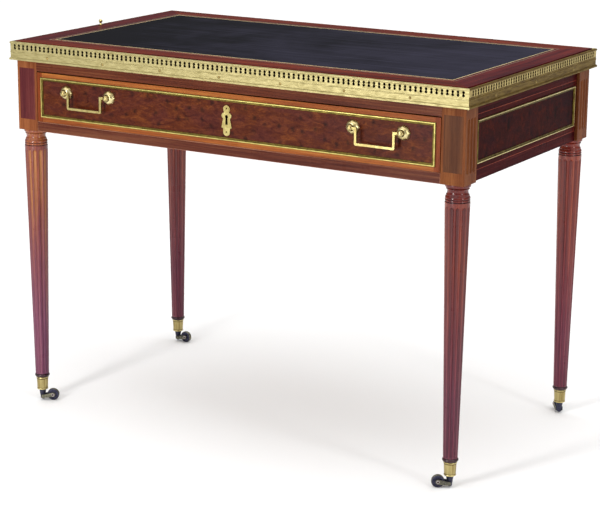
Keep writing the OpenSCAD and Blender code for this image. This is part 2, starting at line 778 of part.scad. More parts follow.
// Round screw pointing back, with a low domed head on the face y = 0
module gallery_pin() {
    dome_r = (pin_head_d * pin_head_d / 4 + pin_head_h * pin_head_h) / (2 * pin_head_h);
    rotate([-90, 0, 0]) cylinder(h = pin_l, d = pin_d);
    intersection() {
        translate([0, dome_r - pin_head_h, 0]) sphere(dome_r);
        translate([0, -pin_head_h / 2, 0]) cube([pin_head_d, pin_head_h, pin_head_d], center = true);
    }
}

// One pierced opening: two round lobes and a waist
module opening() {
    reach = (opening_h - opening_lobe_d) / 2;
    for (s = [-1, 1]) translate([0, s * reach]) circle(d = opening_lobe_d, $fn = 24);
    square([opening_waist, 2 * reach], center = true);
}

// Brass strip with its outer flat face at y = 0, its foot at z = 0 and mitred ends
module gallery_strip(l) {
    count = floor((l - 2 * gallery_margin) / gallery_pitch) + 1;
    bead_z = gallery_h - gallery_bead_drop;
    web_z = bead_z + gallery_bead_d;
    rail_z = gallery_h - gallery_rail_d / 2;
    slot_z = gallery_h - gallery_rail_d - opening_h / 2;
    out = max(lip_out, gallery_bead_d, gallery_rail_d);
    intersection() {
        union() {
            // Foot, lip and fine bead
            along_x(l + 2 * out) {
                square([gallery_t, web_z]);
                translate([-lip_out, 0]) square([lip_out + eps, lip_h - lip_out]);
                intersection() {
                    translate([0, lip_h - lip_out]) circle(lip_out);
                    translate([-lip_out, lip_h - lip_out]) square([lip_out + eps, lip_out]);
                }
                translate([gallery_bead_d / 4, bead_z]) circle(d = gallery_bead_d);
                translate([gallery_t / 2, rail_z]) circle(d = gallery_rail_d);
            }
            // Pierced band
            facing_front(gallery_t) difference() {
                translate([-l / 2, web_z - eps]) square([l, rail_z - web_z + 2 * eps]);
                for (i = [0:count - 1]) translate([(i - (count - 1) / 2) * gallery_pitch, slot_z]) opening();
            }
        }
        linear_extrude(gallery_h) polygon([[-l / 2 - out, -out], [l / 2 + out, -out],
            [l / 2 - 2 * out, 2 * out], [-l / 2 + 2 * out, 2 * out]]);
    }
}

// Hole for one gallery screw
module pin_hole() {
    rotate([-90, 0, 0]) cylinder(h = 2 * pin_l, d = pin_d, center = true);
}

// Gallery strip in its place, drilled for its screws
module gallery(side) {
    color(brass) on_side(side) difference() {
        gallery_strip(side % 2 == 0 ? table_w : table_d);
        if (side % 2 == 0) front_pin_row() pin_hole();
        else side_pin_row() pin_hole();
    }
}

module gallery_screws() {
    color(brass) {
        for (side = [0, 2]) on_side(side) front_pin_row() gallery_pin();
        for (side = [1, 3]) on_side(side) side_pin_row() gallery_pin();
    }
}

// Fixed board inside the gallery, screwed down from below
module sub_top() {
    color(mahogany) difference() {
        span([-top_x, -top_y, frieze_top], [top_x, top_y, frieze_top + sub_top_t]);
        all_top_screws();
        gallery_screws();
    }
}

module top_screws() {
    color(iron) all_top_screws();
}

// Rectangular ring in plan, let into the top of the panel
module line_ring(x, y, w) {
    translate([0, 0, panel_z1 - line_depth]) linear_extrude(line_depth) difference() {
        square([2 * (x + w), 2 * (y + w)], center = true);
        square([2 * x, 2 * y], center = true);
    }
}

module top_stringing() {
    color(brass) {
        line_ring(leather_x, leather_y, line_w);
        line_ring(leather_x + fine_line_out, leather_y + fine_line_out, fine_line_w);
    }
}

module leather() {
    color(hide) span([-leather_x, -leather_y, panel_z1 - leather_t], [leather_x, leather_y, panel_z1]);
}

// Small brass knob near the left edge of the panel
module lifting_knob() {
    ball_r = knob_ball_d / 2;
    color(brass) translate([knob_inset - panel_x, 0, panel_z1]) rotate_extrude() {
        translate([0, -ball_r * 2]) square([screw_d / 2, knob_h + ball_r]);
        square([ball_r * 0.85, 1.2]);
        intersection() {
            translate([0, knob_h - ball_r]) circle(ball_r);
            translate([0, knob_h - 2 * ball_r]) square([ball_r, 2 * ball_r]);
        }
    }
}

// Lift-out panel
module top_panel() {
    color(mahogany) difference() {
        span([-panel_x, -panel_y, panel_z0], [panel_x, panel_y, panel_z1]);
        leather();
        top_stringing();
        lifting_knob();
    }
}

// One dovetail of a drawer side, drawn in (Y, Z), pointing to the front
module dovetail() {
    flare = dovetail_l / 6;
    polygon([[0, flare - dovetail_w / 2], [-dovetail_l, -dovetail_w / 2],
        [-dovetail_l, dovetail_w / 2], [0, dovetail_w / 2 - flare], [eps, dovetail_w / 2 - flare],
        [eps, flare - dovetail_w / 2]]);
}

// All the dovetails of one drawer side
module side_dovetails(s) {
    pitch = (drawer_side_z1 - drawer_side_z0) / dovetails;
    for (i = [0:dovetails - 1])
        translate([s * (drawer_x - drawer_side_t / 2), drawer_inner_y, drawer_side_z0 + (i + 0.5) * pitch])
            along_x(drawer_side_t) dovetail();
}

// Keyhole drawn in (X, Z), with its round part at the origin
module keyhole() {
    circle(d = keyhole_d);
    polygon([[-keyhole_slot_w * 0.4, 0], [keyhole_slot_w * 0.4, 0],
        [keyhole_slot_w / 2, -keyhole_slot_l], [-keyhole_slot_w / 2, -keyhole_slot_l]]);
}

// Keyhole cut from the face of the drawer back to a depth
module keyhole_cut(depth) {
    translate([0, drawer_face_y - escutcheon_t, key_z]) facing_front(escutcheon_t + depth) keyhole();
}

// Children at the pivot of both handles, on the face of the drawer
module at_handles() {
    for (s = boss_sides) translate([s * handle_x, drawer_face_y, handle_z]) children();
}

// Children at each boss of a handle
module at_bosses() {
    at_handles() for (s = boss_sides) translate([s * boss_span / 2, 0, 0]) children();
}

module drawer_front() {
    post_bore = boss_post_d + 2 * running_fit;
    color(mahogany) difference() {
        span([-drawer_x, drawer_face_y, drawer_z0], [drawer_x, drawer_inner_y, drawer_z1]);
        for (s = [-1, 1]) side_dovetails(s);
        span([-drawer_in_x - bottom_groove, drawer_inner_y - bottom_groove, drawer_bottom_z],
            [drawer_in_x + bottom_groove, drawer_inner_y + 1, drawer_bottom_z + drawer_bottom_t]);
        span([-lock_w / 2, lock_y0, lock_z0], [lock_w / 2, drawer_inner_y + 1, drawer_z1 + 1]);
        keyhole_cut(drawer_front_t);
        at_bosses() rotate([-90, 0, 0]) cylinder(h = 3 * drawer_front_t, d = post_bore, center = true);
        at_pins() cylinder(h = 2 * plate_pin_l, d = plate_pin_d, center = true);
        at_lock_screws() cylinder(h = 2 * lock_screw_l, d = lock_screw_d, center = true);
    }
}

module drawer_side(s) {
    color(oak) difference() {
        union() {
            mirror([s < 0 ? 1 : 0, 0, 0])
                span([drawer_in_x, drawer_inner_y, drawer_side_z0],
                    [drawer_x, drawer_end_y, drawer_side_z1]);
            side_dovetails(s);
        }
        mirror([s < 0 ? 1 : 0, 0, 0]) {
            span([drawer_in_x - 1, drawer_inner_y - dovetail_l - 1, drawer_bottom_z],
                [drawer_in_x + bottom_groove, drawer_end_y + 1, drawer_bottom_z + drawer_bottom_t]);
            span([drawer_in_x - 1, drawer_end_y - drawer_back_inset - drawer_side_t, drawer_bottom_z],
                [drawer_in_x + back_housing, drawer_end_y - drawer_back_inset, drawer_side_z1 + 1]);
        }
    }
}

module drawer_back() {
    reach = drawer_in_x + back_housing - glue_gap;
    y1 = drawer_end_y - drawer_back_inset;
    color(oak) span([-reach, y1 - drawer_side_t, drawer_bottom_z + drawer_bottom_t],
        [reach, y1, drawer_side_z1 - drawer_head_gap]);
}

module drawer_bottom() {
    reach = drawer_in_x + bottom_groove - glue_gap;
    color(oak) span([-reach, drawer_inner_y - bottom_groove + glue_gap, drawer_bottom_z],
        [reach, drawer_end_y - drawer_back_inset, drawer_bottom_z + drawer_bottom_t]);
}

// The two round bars of a frame that run along X, h apart over their outer edges
module moulding_beads(w, h) {
    for (s = [-1, 1]) translate([0, s * (h - moulding_w) / 2, moulding_t]) rotate([0, 90, 0])
        cylinder(h = w, d = moulding_bead_d, center = true);
}

// Raised plate that rises from its long edges to a bead and is solid between the beads
module moulding_plate(w, h) {
    translate([-w / 2, -h / 2, 0]) cube([w, h, moulding_t]);
    translate([-w / 2, (moulding_w - h) / 2, 0]) cube([w, h - moulding_w, moulding_t + moulding_bead_d]);
    moulding_beads(w, h);
}

// What is cut out of the plate between the crests of its beads
module moulding_well(w, h) {
    translate([-w / 2, moulding_w - h / 2, -moulding_t])
        cube([w, h - 2 * moulding_w, 2 * moulding_t + moulding_bead_d]);
    difference() {
        translate([-w / 2, (moulding_w - h) / 2, moulding_t]) cube([w, h - moulding_w, moulding_bead_d]);
        moulding_beads(2 * w, h);
    }
}

// Mitred rectangular frame of moulding on the plane y = 0, standing out towards -Y:
// a plate along X crossed with one along Z, less the well that both leave inside their crests
module moulding_frame(w, h) {
    crest_h = moulding_t + moulding_bead_d / 2 - moulding_crest_cut;
    rotate([90, 0, 0]) difference() {
        intersection() {
            moulding_plate(w, h);
            rotate([0, 0, 90]) moulding_plate(h, w);
            translate([-w / 2, -h / 2, 0]) cube([w, h, crest_h]);
        }
        intersection() {
            moulding_well(w, h);
            rotate([0, 0, 90]) moulding_well(h, w);
        }
    }
}

module drawer_moulding() {
    color(brass) translate([0, drawer_face_y, drawer_mid_z]) moulding_frame(2 * moulding_half, moulding_h);
}

module side_moulding(s) {
    color(brass) rotate([0, 0, s * 90]) translate([0, -apron_x - apron_t, apron_moulding_z])
        moulding_frame(2 * (bay_y - moulding_margin), moulding_h);
}

module back_moulding() {
    color(brass) rotate([0, 0, 180]) translate([0, -apron_y - apron_t, apron_moulding_z])
        moulding_frame(2 * moulding_half, moulding_h);
}

// Boss with petals, a dome and a knob that takes the bail's pin; it stands out along +Z
module boss() {
    petal_r = boss_d * 0.145;
    dome_base = boss_d * 0.4;
    dome_r = (dome_base * dome_base + boss_dome_h * boss_dome_h) / (2 * boss_dome_h);
    cap_h = 3;
    knob_edge = boss_knob_h - cap_h;
    cap_r = (boss_knob_d * boss_knob_d / 4 + cap_h * cap_h) / (2 * cap_h);
    intersection() {
        union() {
            translate([0, 0, boss_dome_h - dome_r]) sphere(dome_r);
            for (i = [0:boss_petals - 1]) rotate([0, 0, i * 360 / boss_petals])
                translate([boss_d / 2 - petal_r, 0, petal_r * 0.3]) sphere(petal_r);
            cylinder(h = petal_r * 0.4, r = boss_d / 2 - petal_r * 0.5);
        }
        cylinder(h = boss_dome_h, r = boss_d / 2 + 1);
    }
    intersection() {
        cylinder(h = boss_knob_h, d = boss_knob_d);
        translate([0, 0, boss_knob_h - cap_r]) sphere(cap_r);
    }
    cylinder(h = knob_edge, d = boss_knob_d);
}

module handle_rosettes() {
    post_l = drawer_front_t + nut_t + 1;
    color(brass) at_handles() for (s = boss_sides) translate([s * boss_span / 2, 0, 0]) difference() {
        union() {
            rotate([90, 0, 0]) boss();
            rotate([-90, 0, 0]) cylinder(h = post_l, d = boss_post_d);
        }
        // Hole for the bail's pin, on the side that faces the other boss
        translate([-s * boss_knob_d / 2, -bail_standoff, 0]) rotate([0, 90, 0])
            cylinder(h = 2 * (bail_pin_l + slide_gap), d = bail_pin_d + 2 * running_fit, center = true);
    }
}

module handle_nuts() {
    color(brass) at_bosses() translate([0, drawer_front_t, 0]) facing_front(nut_t) difference() {
        square(nut_w, center = true);
        circle(d = boss_post_d + 2 * running_fit);
    }
}

// Bail of square bar, hanging from its two pins
module bail(s) {
    return_end = knob_face - slide_gap;
    pin_root = bail_bar / 2;
    color(brass) translate([s * handle_x, drawer_face_y - bail_standoff, handle_z]) {
        translate([0, -bail_bar / 2, 0]) facing_front(bail_bar) {
            difference() {
                union() {
                    translate([-bail_out, bail_corner_r - bail_drop - bail_bar / 2])
                        square([2 * bail_out, bail_drop + bail_bar - bail_corner_r]);
                    translate([bail_corner_r - bail_out, -bail_drop - bail_bar / 2])
                        square([2 * (bail_out - bail_corner_r), bail_bar]);
                    for (c = [-1, 1]) translate([c * (bail_out - bail_corner_r),
                        bail_corner_r - bail_drop - bail_bar / 2]) circle(bail_corner_r);
                }
                translate([-bail_in, bail_bar / 2 - bail_drop]) square([2 * bail_in, bail_drop + bail_bar]);
            }
            for (c = [-1, 1]) translate([c * (bail_in + return_end) / 2, 0])
                square([return_end - bail_in, bail_bar], center = true);
        }
        for (c = [-1, 1]) translate([c * (knob_face + (bail_pin_l - pin_root) / 2), 0, 0]) rotate([0, 90, 0])
            cylinder(h = bail_pin_l + pin_root, d = bail_pin_d, center = true);
    }
}

// Children at the two pins of the keyhole plate, turned so that +Z goes into the wood
module at_pins() {
    for (z = [plate_pin_up, -plate_pin_down])
        translate([0, drawer_face_y, key_z + z]) rotate([-90, 0, 0]) children();
}

// Keyhole plate: a round head, two ears, a flaring waist and a round foot
module escutcheon() {
    head_up = plate_head_up - plate_end_d / 2;
    foot_down = plate_foot_down - plate_end_d / 2;
    flare_z = -foot_down + plate_end_d / 2;
    flare_top_z = flare_z + plate_end_d / 5;
    neck_up = head_up - plate_end_d / 4;
    ear_up = plate_ear_d / 6;
    color(brass) translate([0, drawer_face_y - escutcheon_t, key_z]) difference() {
        each_facing_front(escutcheon_t) {
            translate([0, head_up]) circle(d = plate_end_d);
            translate([-plate_end_d * 0.4, 0]) square([plate_end_d * 0.8, neck_up]);
            translate([(plate_w - plate_ear_d) / 2, ear_up]) circle(d = plate_ear_d);
            translate([(plate_ear_d - plate_w) / 2, ear_up]) circle(d = plate_ear_d);
            polygon([[-plate_waist_w / 2, 0], [plate_waist_w / 2, 0], [plate_waist_w / 2, -plate_ear_d / 2],
                [plate_w / 2, flare_top_z], [plate_w / 2, flare_z], [-plate_w / 2, flare_z],
                [-plate_w / 2, flare_top_z], [-plate_waist_w / 2, -plate_ear_d / 2]]);
            translate([-plate_end_d / 2, -foot_down]) square([plate_end_d, plate_end_d]);
            translate([0, -foot_down]) circle(d = plate_end_d);
        }
        facing_front(escutcheon_t) keyhole();
        for (z = [plate_pin_up, -plate_pin_down])
            facing_front(escutcheon_t) translate([0, z]) circle(d = plate_pin_d);
    }
}

module escutcheon_pins() {
    head_d = 3.4;
    head_h = 0.8;
    color(brass) at_pins() {
        translate([0, 0, -escutcheon_t - head_h]) cylinder(h = head_h, d1 = head_d - 1.2, d2 = head_d);
        translate([0, 0, -escutcheon_t - eps]) cylinder(h = escutcheon_t + plate_pin_l, d = plate_pin_d);
    }
}

// Lock case, open at the top for its bolt
module lock_case() {
    back_y = lock_y0 + lock_t;
    color(brass) difference() {
        span([-lock_w / 2, lock_y0, lock_z0], [lock_w / 2, back_y, drawer_z1]);
        span([-bolt_w / 2 - slide_gap, lock_y0 + lock_wall, bolt_z0 - slide_gap],
            [bolt_w / 2 + slide_gap, back_y - lock_wall, drawer_z1 + 1]);
        keyhole_cut(drawer_front_t - lock_recess + lock_t / 2);
        at_lock_screws() cylinder(h = 4 * lock_t, d = lock_screw_d, center = true);
    }
}

module lock_bolt() {
    mid_y = lock_y0 + lock_t / 2;
    color(iron) span([-bolt_w / 2, mid_y - bolt_t / 2, bolt_z0],
        [bolt_w / 2, mid_y + bolt_t / 2, bolt_z0 + bolt_h]);
}

// Children at the screws of the lock case, turned so that +Z goes into the wood
module at_lock_screws() {
    for (s = [-1, 1], z = [lock_z0 + lock_screw_margin, drawer_z1 - lock_screw_margin])
        translate([s * (lock_w / 2 - lock_screw_margin), lock_y0 + lock_t, z]) rotate([90, 0, 0]) children();
}

module lock_screws() {
    head_d = 4.6;
    head_h = 1;
    color(iron) at_lock_screws() {
        translate([0, 0, -eps]) cylinder(h = lock_screw_l, d = lock_screw_d);
        translate([0, 0, -head_h]) cylinder(h = head_h, d1 = head_d - 1, d2 = head_d);
    }
}

leg(-1, -1);  // leg_front_left
leg(1, -1);  // leg_front_right
leg(-1, 1);  // leg_back_left
leg(1, 1);  // leg_back_right
sabot(-1, -1);  // sabot_front_left
sabot(1, -1);  // sabot_front_right
sabot(-1, 1);  // sabot_back_left
sabot(1, 1);  // sabot_back_right
under_leg(-1, -1, turn_front_left) caster_fork();  // caster_fork_front_left
under_leg(1, -1, turn_front_right) caster_fork();  // caster_fork_front_right
under_leg(-1, 1, turn_back_left) caster_fork();  // caster_fork_back_left
under_leg(1, 1, turn_back_right) caster_fork();  // caster_fork_back_right
under_leg(-1, -1, turn_front_left) caster_axle();  // caster_axle_front_left
under_leg(1, -1, turn_front_right) caster_axle();  // caster_axle_front_right
under_leg(-1, 1, turn_back_left) caster_axle();  // caster_axle_back_left
under_leg(1, 1, turn_back_right) caster_axle();  // caster_axle_back_right
under_leg(-1, -1, turn_front_left) caster_wheel();  // caster_wheel_front_left
under_leg(1, -1, turn_front_right) caster_wheel();  // caster_wheel_front_right
under_leg(-1, 1, turn_back_left) caster_wheel();  // caster_wheel_back_left
under_leg(1, 1, turn_back_right) caster_wheel();  // caster_wheel_back_right
front_top_rail();
front_bottom_rail();
side_apron(-1);  // side_apron_left
side_apron(1);  // side_apron_right
back_apron();
drawer_runner(-1);  // drawer_runner_left
drawer_runner(1);  // drawer_runner_right
drawer_kicker(-1);  // drawer_kicker_left
drawer_kicker(1);  // drawer_kicker_right
drawer_stops();
corner_blocks();
sub_top();
top_screws();
gallery(0);  // gallery_front
gallery(1);  // gallery_right
gallery(2);  // gallery_back
gallery(3);  // gallery_left
gallery_screws();
top_panel();
leather();
top_stringing();
lifting_knob();
drawer_front();
drawer_side(-1);  // drawer_side_left
drawer_side(1);  // drawer_side_right
drawer_back();
drawer_bottom();
drawer_moulding();
handle_rosettes();
bail(-1);  // bail_left
bail(1);  // bail_right
handle_nuts();
escutcheon();
escutcheon_pins();
lock_case();
lock_bolt();
lock_screws();
side_moulding(-1);  // side_moulding_left
side_moulding(1);  // side_moulding_right
back_moulding();
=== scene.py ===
import json
import math

import bmesh
import bpy
import numpy as np
from mathutils import Matrix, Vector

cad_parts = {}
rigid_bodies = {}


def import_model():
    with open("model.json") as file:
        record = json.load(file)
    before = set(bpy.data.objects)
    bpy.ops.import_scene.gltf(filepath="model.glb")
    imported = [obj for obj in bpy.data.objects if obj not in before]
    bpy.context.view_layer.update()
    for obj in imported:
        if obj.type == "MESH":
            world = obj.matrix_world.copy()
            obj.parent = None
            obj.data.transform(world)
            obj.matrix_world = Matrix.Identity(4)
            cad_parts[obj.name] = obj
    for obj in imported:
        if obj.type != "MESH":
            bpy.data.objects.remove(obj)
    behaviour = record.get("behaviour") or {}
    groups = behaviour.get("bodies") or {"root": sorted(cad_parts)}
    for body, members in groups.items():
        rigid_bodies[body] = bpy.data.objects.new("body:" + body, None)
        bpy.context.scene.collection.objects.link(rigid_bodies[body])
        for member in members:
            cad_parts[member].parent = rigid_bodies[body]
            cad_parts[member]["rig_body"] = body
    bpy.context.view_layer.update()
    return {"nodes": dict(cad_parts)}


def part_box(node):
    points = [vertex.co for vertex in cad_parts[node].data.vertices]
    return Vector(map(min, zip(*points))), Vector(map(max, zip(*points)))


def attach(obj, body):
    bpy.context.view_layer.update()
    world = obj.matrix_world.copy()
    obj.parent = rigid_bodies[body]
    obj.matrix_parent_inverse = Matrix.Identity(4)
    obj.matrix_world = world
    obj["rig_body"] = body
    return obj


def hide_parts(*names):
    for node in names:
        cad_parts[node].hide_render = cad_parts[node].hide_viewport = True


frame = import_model()
cad_nodes = frame["nodes"]


# Camera
# It stands off the right front corner, above the height of the top, and looks down on the table.
# Its place was worked out from the corners of the top, the blocks of the legs and the feet.
def added(name, data):
    """A new object in the scene."""
    thing = bpy.data.objects.new(name, data)
    bpy.context.scene.collection.objects.link(thing)
    return thing


picture_width = 600
focal_pixels = 1980.5
camera_place = (1.9915, -3.3334, 1.3272)
yaw, pitch, roll = (math.radians(angle) for angle in (30.867, -14.59, 0.447))
ahead = np.array([-math.sin(yaw) * math.cos(pitch), math.cos(yaw) * math.cos(pitch), math.sin(pitch)])
level = np.array([math.cos(yaw), math.sin(yaw), 0.0])
upward = np.cross(level, ahead)
right = level * math.cos(roll) + upward * math.sin(roll)
camera_up = upward * math.cos(roll) - level * math.sin(roll)
camera = added("camera", bpy.data.cameras.new("camera"))
camera.data.sensor_width = 36.0
camera.data.lens = focal_pixels / picture_width * camera.data.sensor_width
camera.matrix_world = Matrix.Translation(camera_place) @ Matrix(
    np.column_stack([right, camera_up, -ahead]).tolist()
).to_4x4()
bpy.context.scene.camera = camera


# Legs
# Each leg is one length of mahogany: a square block that the rails are tenoned into, and below it a
# turned disc, a hollow neck, two rings and a tapering shaft cut with twelve round-ended flutes.
# The block has a darker veneered panel front and back, and three flutes on its outer side.
corners = ("front_left", "front_right", "back_left", "back_right")
leg_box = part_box("leg_front_right")
block_half = (leg_box[1].x - leg_box[0].x) / 2
frieze_top = leg_box[1].z
frieze_height = 0.1405
frieze_bottom = frieze_top - frieze_height
ease = 0.00035
hair = 0.0001


def linear(red, green, blue):
    """Linear colour of a colour given as 0 to 255: the share to the power 2.2."""
    return [(part / 255) ** 2.2 for part in (red, green, blue)] + [1.0]


def arc(middle, radius, start, end, steps):
    """Points of an arc round a middle: cosine and sine of evenly spaced angles, times the radius."""
    angle = np.radians(np.linspace(start, end, steps))
    return np.column_stack([middle[0] + radius * np.cos(angle), middle[1] + radius * np.sin(angle)])


def eased(outline, size):
    """The same outline with each sharp corner taken off: a corner becomes four points, one and two
    sizes back along each of its sides, so that smooth shading bends only there."""
    before, after = np.diff(outline, axis=0)[:-1], np.diff(outline, axis=0)[1:]
    length_before, length_after = (np.linalg.norm(side, axis=1, keepdims=True) for side in (before, after))
    before, after = before / length_before, after / length_after
    sharp = (before * after).sum(1) < math.cos(math.radians(25))
    back = before * np.minimum(size, length_before / 5)
    on = after * np.minimum(size, length_after / 5)
    corner = outline[1:-1]
    five = np.stack([corner - 2 * back, corner - back, corner, corner + on, corner + 2 * on], 1)
    keep = np.stack([sharp, sharp, ~sharp, sharp, sharp], 1)
    return np.vstack([outline[:1], five[keep], outline[-1:]])


def skin(grid, offset=0):
    """Four-sided faces between the rows and columns of a grid whose last column joins its first."""
    rows, columns = grid.shape[:2]
    index = offset + np.arange(rows * columns).reshape(rows, columns)
    index = np.hstack([index, index[:, :1]])
    return np.stack([index[:-1, :-1], index[:-1, 1:], index[1:, 1:], index[1:, :-1]], -1).reshape(-1, 4)


def closed_tubes(name, grids, capped=True):
    """One mesh of several tubes: the skin of each grid, with a flat cap over its first and last row.
    Without caps, the last row lies on the first and is merged with it. Edges over 40 degrees stay sharp."""
    points, faces = [], []
    for grid in grids:
        sides = grid.shape[1]
        offset = sum(len(part) for part in points)
        last = offset + grid.shape[0] * sides
        faces += skin(grid, offset).tolist()
        if capped:
            faces += [list(range(offset, offset + sides))[::-1], list(range(last - sides, last))]
        points.append(grid.reshape(-1, 3))
    shape = bmesh.new()
    mesh = bpy.data.meshes.new(name)
    mesh.from_pydata(np.vstack(points).tolist(), [], faces)
    shape.from_mesh(mesh)
    bmesh.ops.remove_doubles(shape, verts=shape.verts, dist=1e-7)
    bmesh.ops.recalc_face_normals(shape, faces=shape.faces)
    shape.to_mesh(mesh)
    shape.free()
    mesh.shade_smooth()
    mesh.set_sharp_from_angle(angle=math.radians(40))
    return mesh


def upright(node):
    """Point on the floor under the middle of a CAD node's box."""
    low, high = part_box(node)
    return np.array([(low.x + high.x) / 2, (low.y + high.y) / 2, 0.0])


def place(name, mesh, materials, body, node):
    """Puts a finished mesh into the scene in place of a CAD node, riding on its body."""
    piece = added(name, mesh)
    for material in materials:
        mesh.materials.append(material)
    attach(piece, body)
    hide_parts(node)
    return piece


def paint(name):
    """A new material: itself, its node tree, its shader and the point of the piece that is being shaded."""
    material = bpy.data.materials.new(name)
    material.use_nodes = True
    tree = material.node_tree
    point = tree.nodes.new("ShaderNodeTexCoord").outputs["Object"]
    return material, tree, tree.nodes["Principled BSDF"], point


def preset(node, values):
    """Sets some inputs of a node by name."""
    for name, value in values.items():
        node.inputs[name].default_value = value


def noise(tree, point, scale, detail=4.0, shift=0.0, rough=0.62, bend=0.35):
    """Noise at a point, with its own scale along each axis."""
    mapping = tree.nodes.new("ShaderNodeMapping")
    preset(mapping, {"Scale": scale, "Location": [shift] * 3})
    texture = tree.nodes.new("ShaderNodeTexNoise")
    preset(texture, {"Scale": 1.0, "Detail": detail, "Roughness": rough, "Distortion": bend})
    tree.links.new(point, mapping.inputs["Vector"])
    tree.links.new(mapping.outputs["Vector"], texture.inputs["Vector"])
    return texture.outputs["Fac"]


def feed(tree, socket, value):
    """Gives a socket a number, or the value of another socket."""
    if isinstance(value, float):
        socket.default_value = value
    else:
        tree.links.new(value, socket)


def maths(tree, operation, first, second):
    """One sum on two values, each a number or a socket."""
    node = tree.nodes.new("ShaderNodeMath")
    node.operation = operation
    feed(tree, node.inputs[0], first)
    feed(tree, node.inputs[1], second)
    return node.outputs["Value"]


def weighted(tree, first, share, second):
    """Sum of two values: the first times its share, and the second times the rest."""
    part = maths(tree, "MULTIPLY", first, share)
    rest = maths(tree, "MULTIPLY", second, 1 - share)
    return maths(tree, "ADD", part, rest)


def ranged(tree, value, low, high, to_low, to_high):
    """A value that runs from to_low to to_high while the given one runs from low to high."""
    node = tree.nodes.new("ShaderNodeMapRange")
    preset(node, {"From Min": low, "From Max": high, "To Min": to_low, "To Max": to_high})
    tree.links.new(value, node.inputs["Value"])
    return node.outputs["Result"]


def axes(tree, point):
    """The coordinates of a point, as sockets named X, Y and Z."""
    node = tree.nodes.new("ShaderNodeSeparateXYZ")
    tree.links.new(point, node.inputs["Vector"])
    return node.outputs


def coloured(tree, value, stops, colours):
    """Colour that follows a value: at each stop it is one of the colours, given as 0 to 255."""
    ramp = tree.nodes.new("ShaderNodeValToRGB")
    while len(ramp.color_ramp.elements) < len(stops):
        ramp.color_ramp.elements.new(0.5)
    for element, stop, colour in zip(ramp.color_ramp.elements, stops, colours):
        element.position = stop
        element.color = linear(*colour)
    tree.links.new(value, ramp.inputs["Fac"])
    return ramp.outputs["Color"]


def mixed(tree, first, second, share, kind="MIX"):
    """Two colours mixed by a share, a number or a socket."""
    node = tree.nodes.new("ShaderNodeMix")
    node.data_type = "RGBA"
    node.blend_type = kind
    feed(tree, node.inputs["Factor"], share)
    feed(tree, node.inputs["A"], first)
    feed(tree, node.inputs["B"], second)
    return node.outputs["Result"]


def surface(tree, shader, colour, roughness, height, strength, distance):
    """Gives a shader its colour and its roughness, and the surface a small unevenness."""
    tree.links.new(colour, shader.inputs["Base Color"])
    tree.links.new(roughness, shader.inputs["Roughness"])
    bump = tree.nodes.new("ShaderNodeBump")
    preset(bump, {"Strength": strength, "Distance": distance})
    tree.links.new(height, bump.inputs["Height"])
    tree.links.new(bump.outputs["Normal"], shader.inputs["Normal"])


def polished(shader, level, coat):
    """Thin french polish: a weak sheen of its own and a clear coat over it."""
    preset(shader, {"Specular IOR Level": level, "Coat Weight": coat, "Coat Roughness": 0.1})


def wood(name, dark, middle, light, grain="X", fine=1.0, seed=0.0, foot=None, hollow=0.0, level=0.08,
         coat=0.04, shine=0.3):
    """Polished wood. Its colour runs from dark to light by noises stretched along the grain, with short
    darker pores. For a leg, foot is its colours near the floor, a painted purple cast that stands in
    for the coloured light down there, and hollow is painted light and shade: how much lighter (or, if
    negative, darker) its flutes are than its arrises."""
    material, tree, shader, point = paint(name)
    along = ["X", "Y", "Z"].index(grain)

    def stretched(across, lengthwise, detail, shift):
        scale = [across * fine] * 3
        scale[along] = lengthwise * fine
        return noise(tree, point, scale, detail, seed + shift)

    streaks = stretched(420.0, 9.0, 5.0, 0.0)
    bands = stretched(60.0, 2.2, 3.0, 3.7)
    clouds = stretched(9.0, 22.0, 3.0, 8.1)
    tone = weighted(tree, streaks, 0.45, bands)
    # Painted light and shade: hollow makes the flutes lighter or darker than the arrises, as the light
    # falls on them.
    if foot:
        depth = tree.nodes.new("ShaderNodeAttribute")
        depth.attribute_name = "hollow"
        lift = ranged(tree, depth.outputs["Fac"], 0, 1, 0.15 - hollow, 0.15 + hollow)
        tone = maths(tree, "ADD", maths(tree, "MULTIPLY", tone, 0.7), lift)
    stops = (0.38, 0.5, 0.64)
    colour = coloured(tree, tone, stops, (dark, middle, light))
    # Painted light: towards the floor the colour drifts to the foot colours, a purple cast that stands in
    # for the coloured light there.
    if foot:
        cast = coloured(tree, tone, stops, foot)
        colour = mixed(tree, cast, colour, ranged(tree, axes(tree, point)["Z"], 0.17, 0.42, 0.0, 1.0))
    pores = ranged(tree, stretched(1300.0, 70.0, 2.0, 5.3), 0.34, 0.46, 0.6, 1.0)
    colour = mixed(tree, colour, pores, 0.7, "MULTIPLY")
    roughness = ranged(tree, clouds, 0.3, 0.7, shine - 0.05, shine + 0.08)
    surface(tree, shader, colour, roughness, maths(tree, "ADD", pores, streaks), 0.1, 0.0004)
    polished(shader, level, coat)
    return material


disc_foot = frieze_bottom - 0.0065
neck_foot = disc_foot - 0.0145
upper_ring_foot = neck_foot - 0.0053
lower_ring_foot = upper_ring_foot - 0.0055
shaft_top = lower_ring_foot - 0.0009
cup_mouth = 0.051
shaft_foot = cup_mouth + 0.0078
shaft_top_r, shaft_foot_r = 0.0231, 0.0137
groove_r = 0.0212
flute_width, flute_depth, flute_margin = 0.0092, 0.003, 0.007
flutes = 12


def cutter_radius(width, depth):
    """Radius of the round tool that leaves a flute: a quarter of the width squared plus the depth
    squared, over twice the depth."""
    return (width * width / 4 + depth * depth) / (2 * depth)


def shaft_radius(height):
    """Radius of the tapering shaft: a straight line from foot to top."""
    return shaft_foot_r + (shaft_top_r - shaft_foot_r) * (height - shaft_foot) / (shaft_top - shaft_foot)


tool_share = cutter_radius(flute_width, flute_depth) / shaft_top_r
flute_low = shaft_foot + tool_share * shaft_foot_r
flute_high = shaft_top - flute_margin - tool_share * shaft_radius(shaft_top - flute_margin)


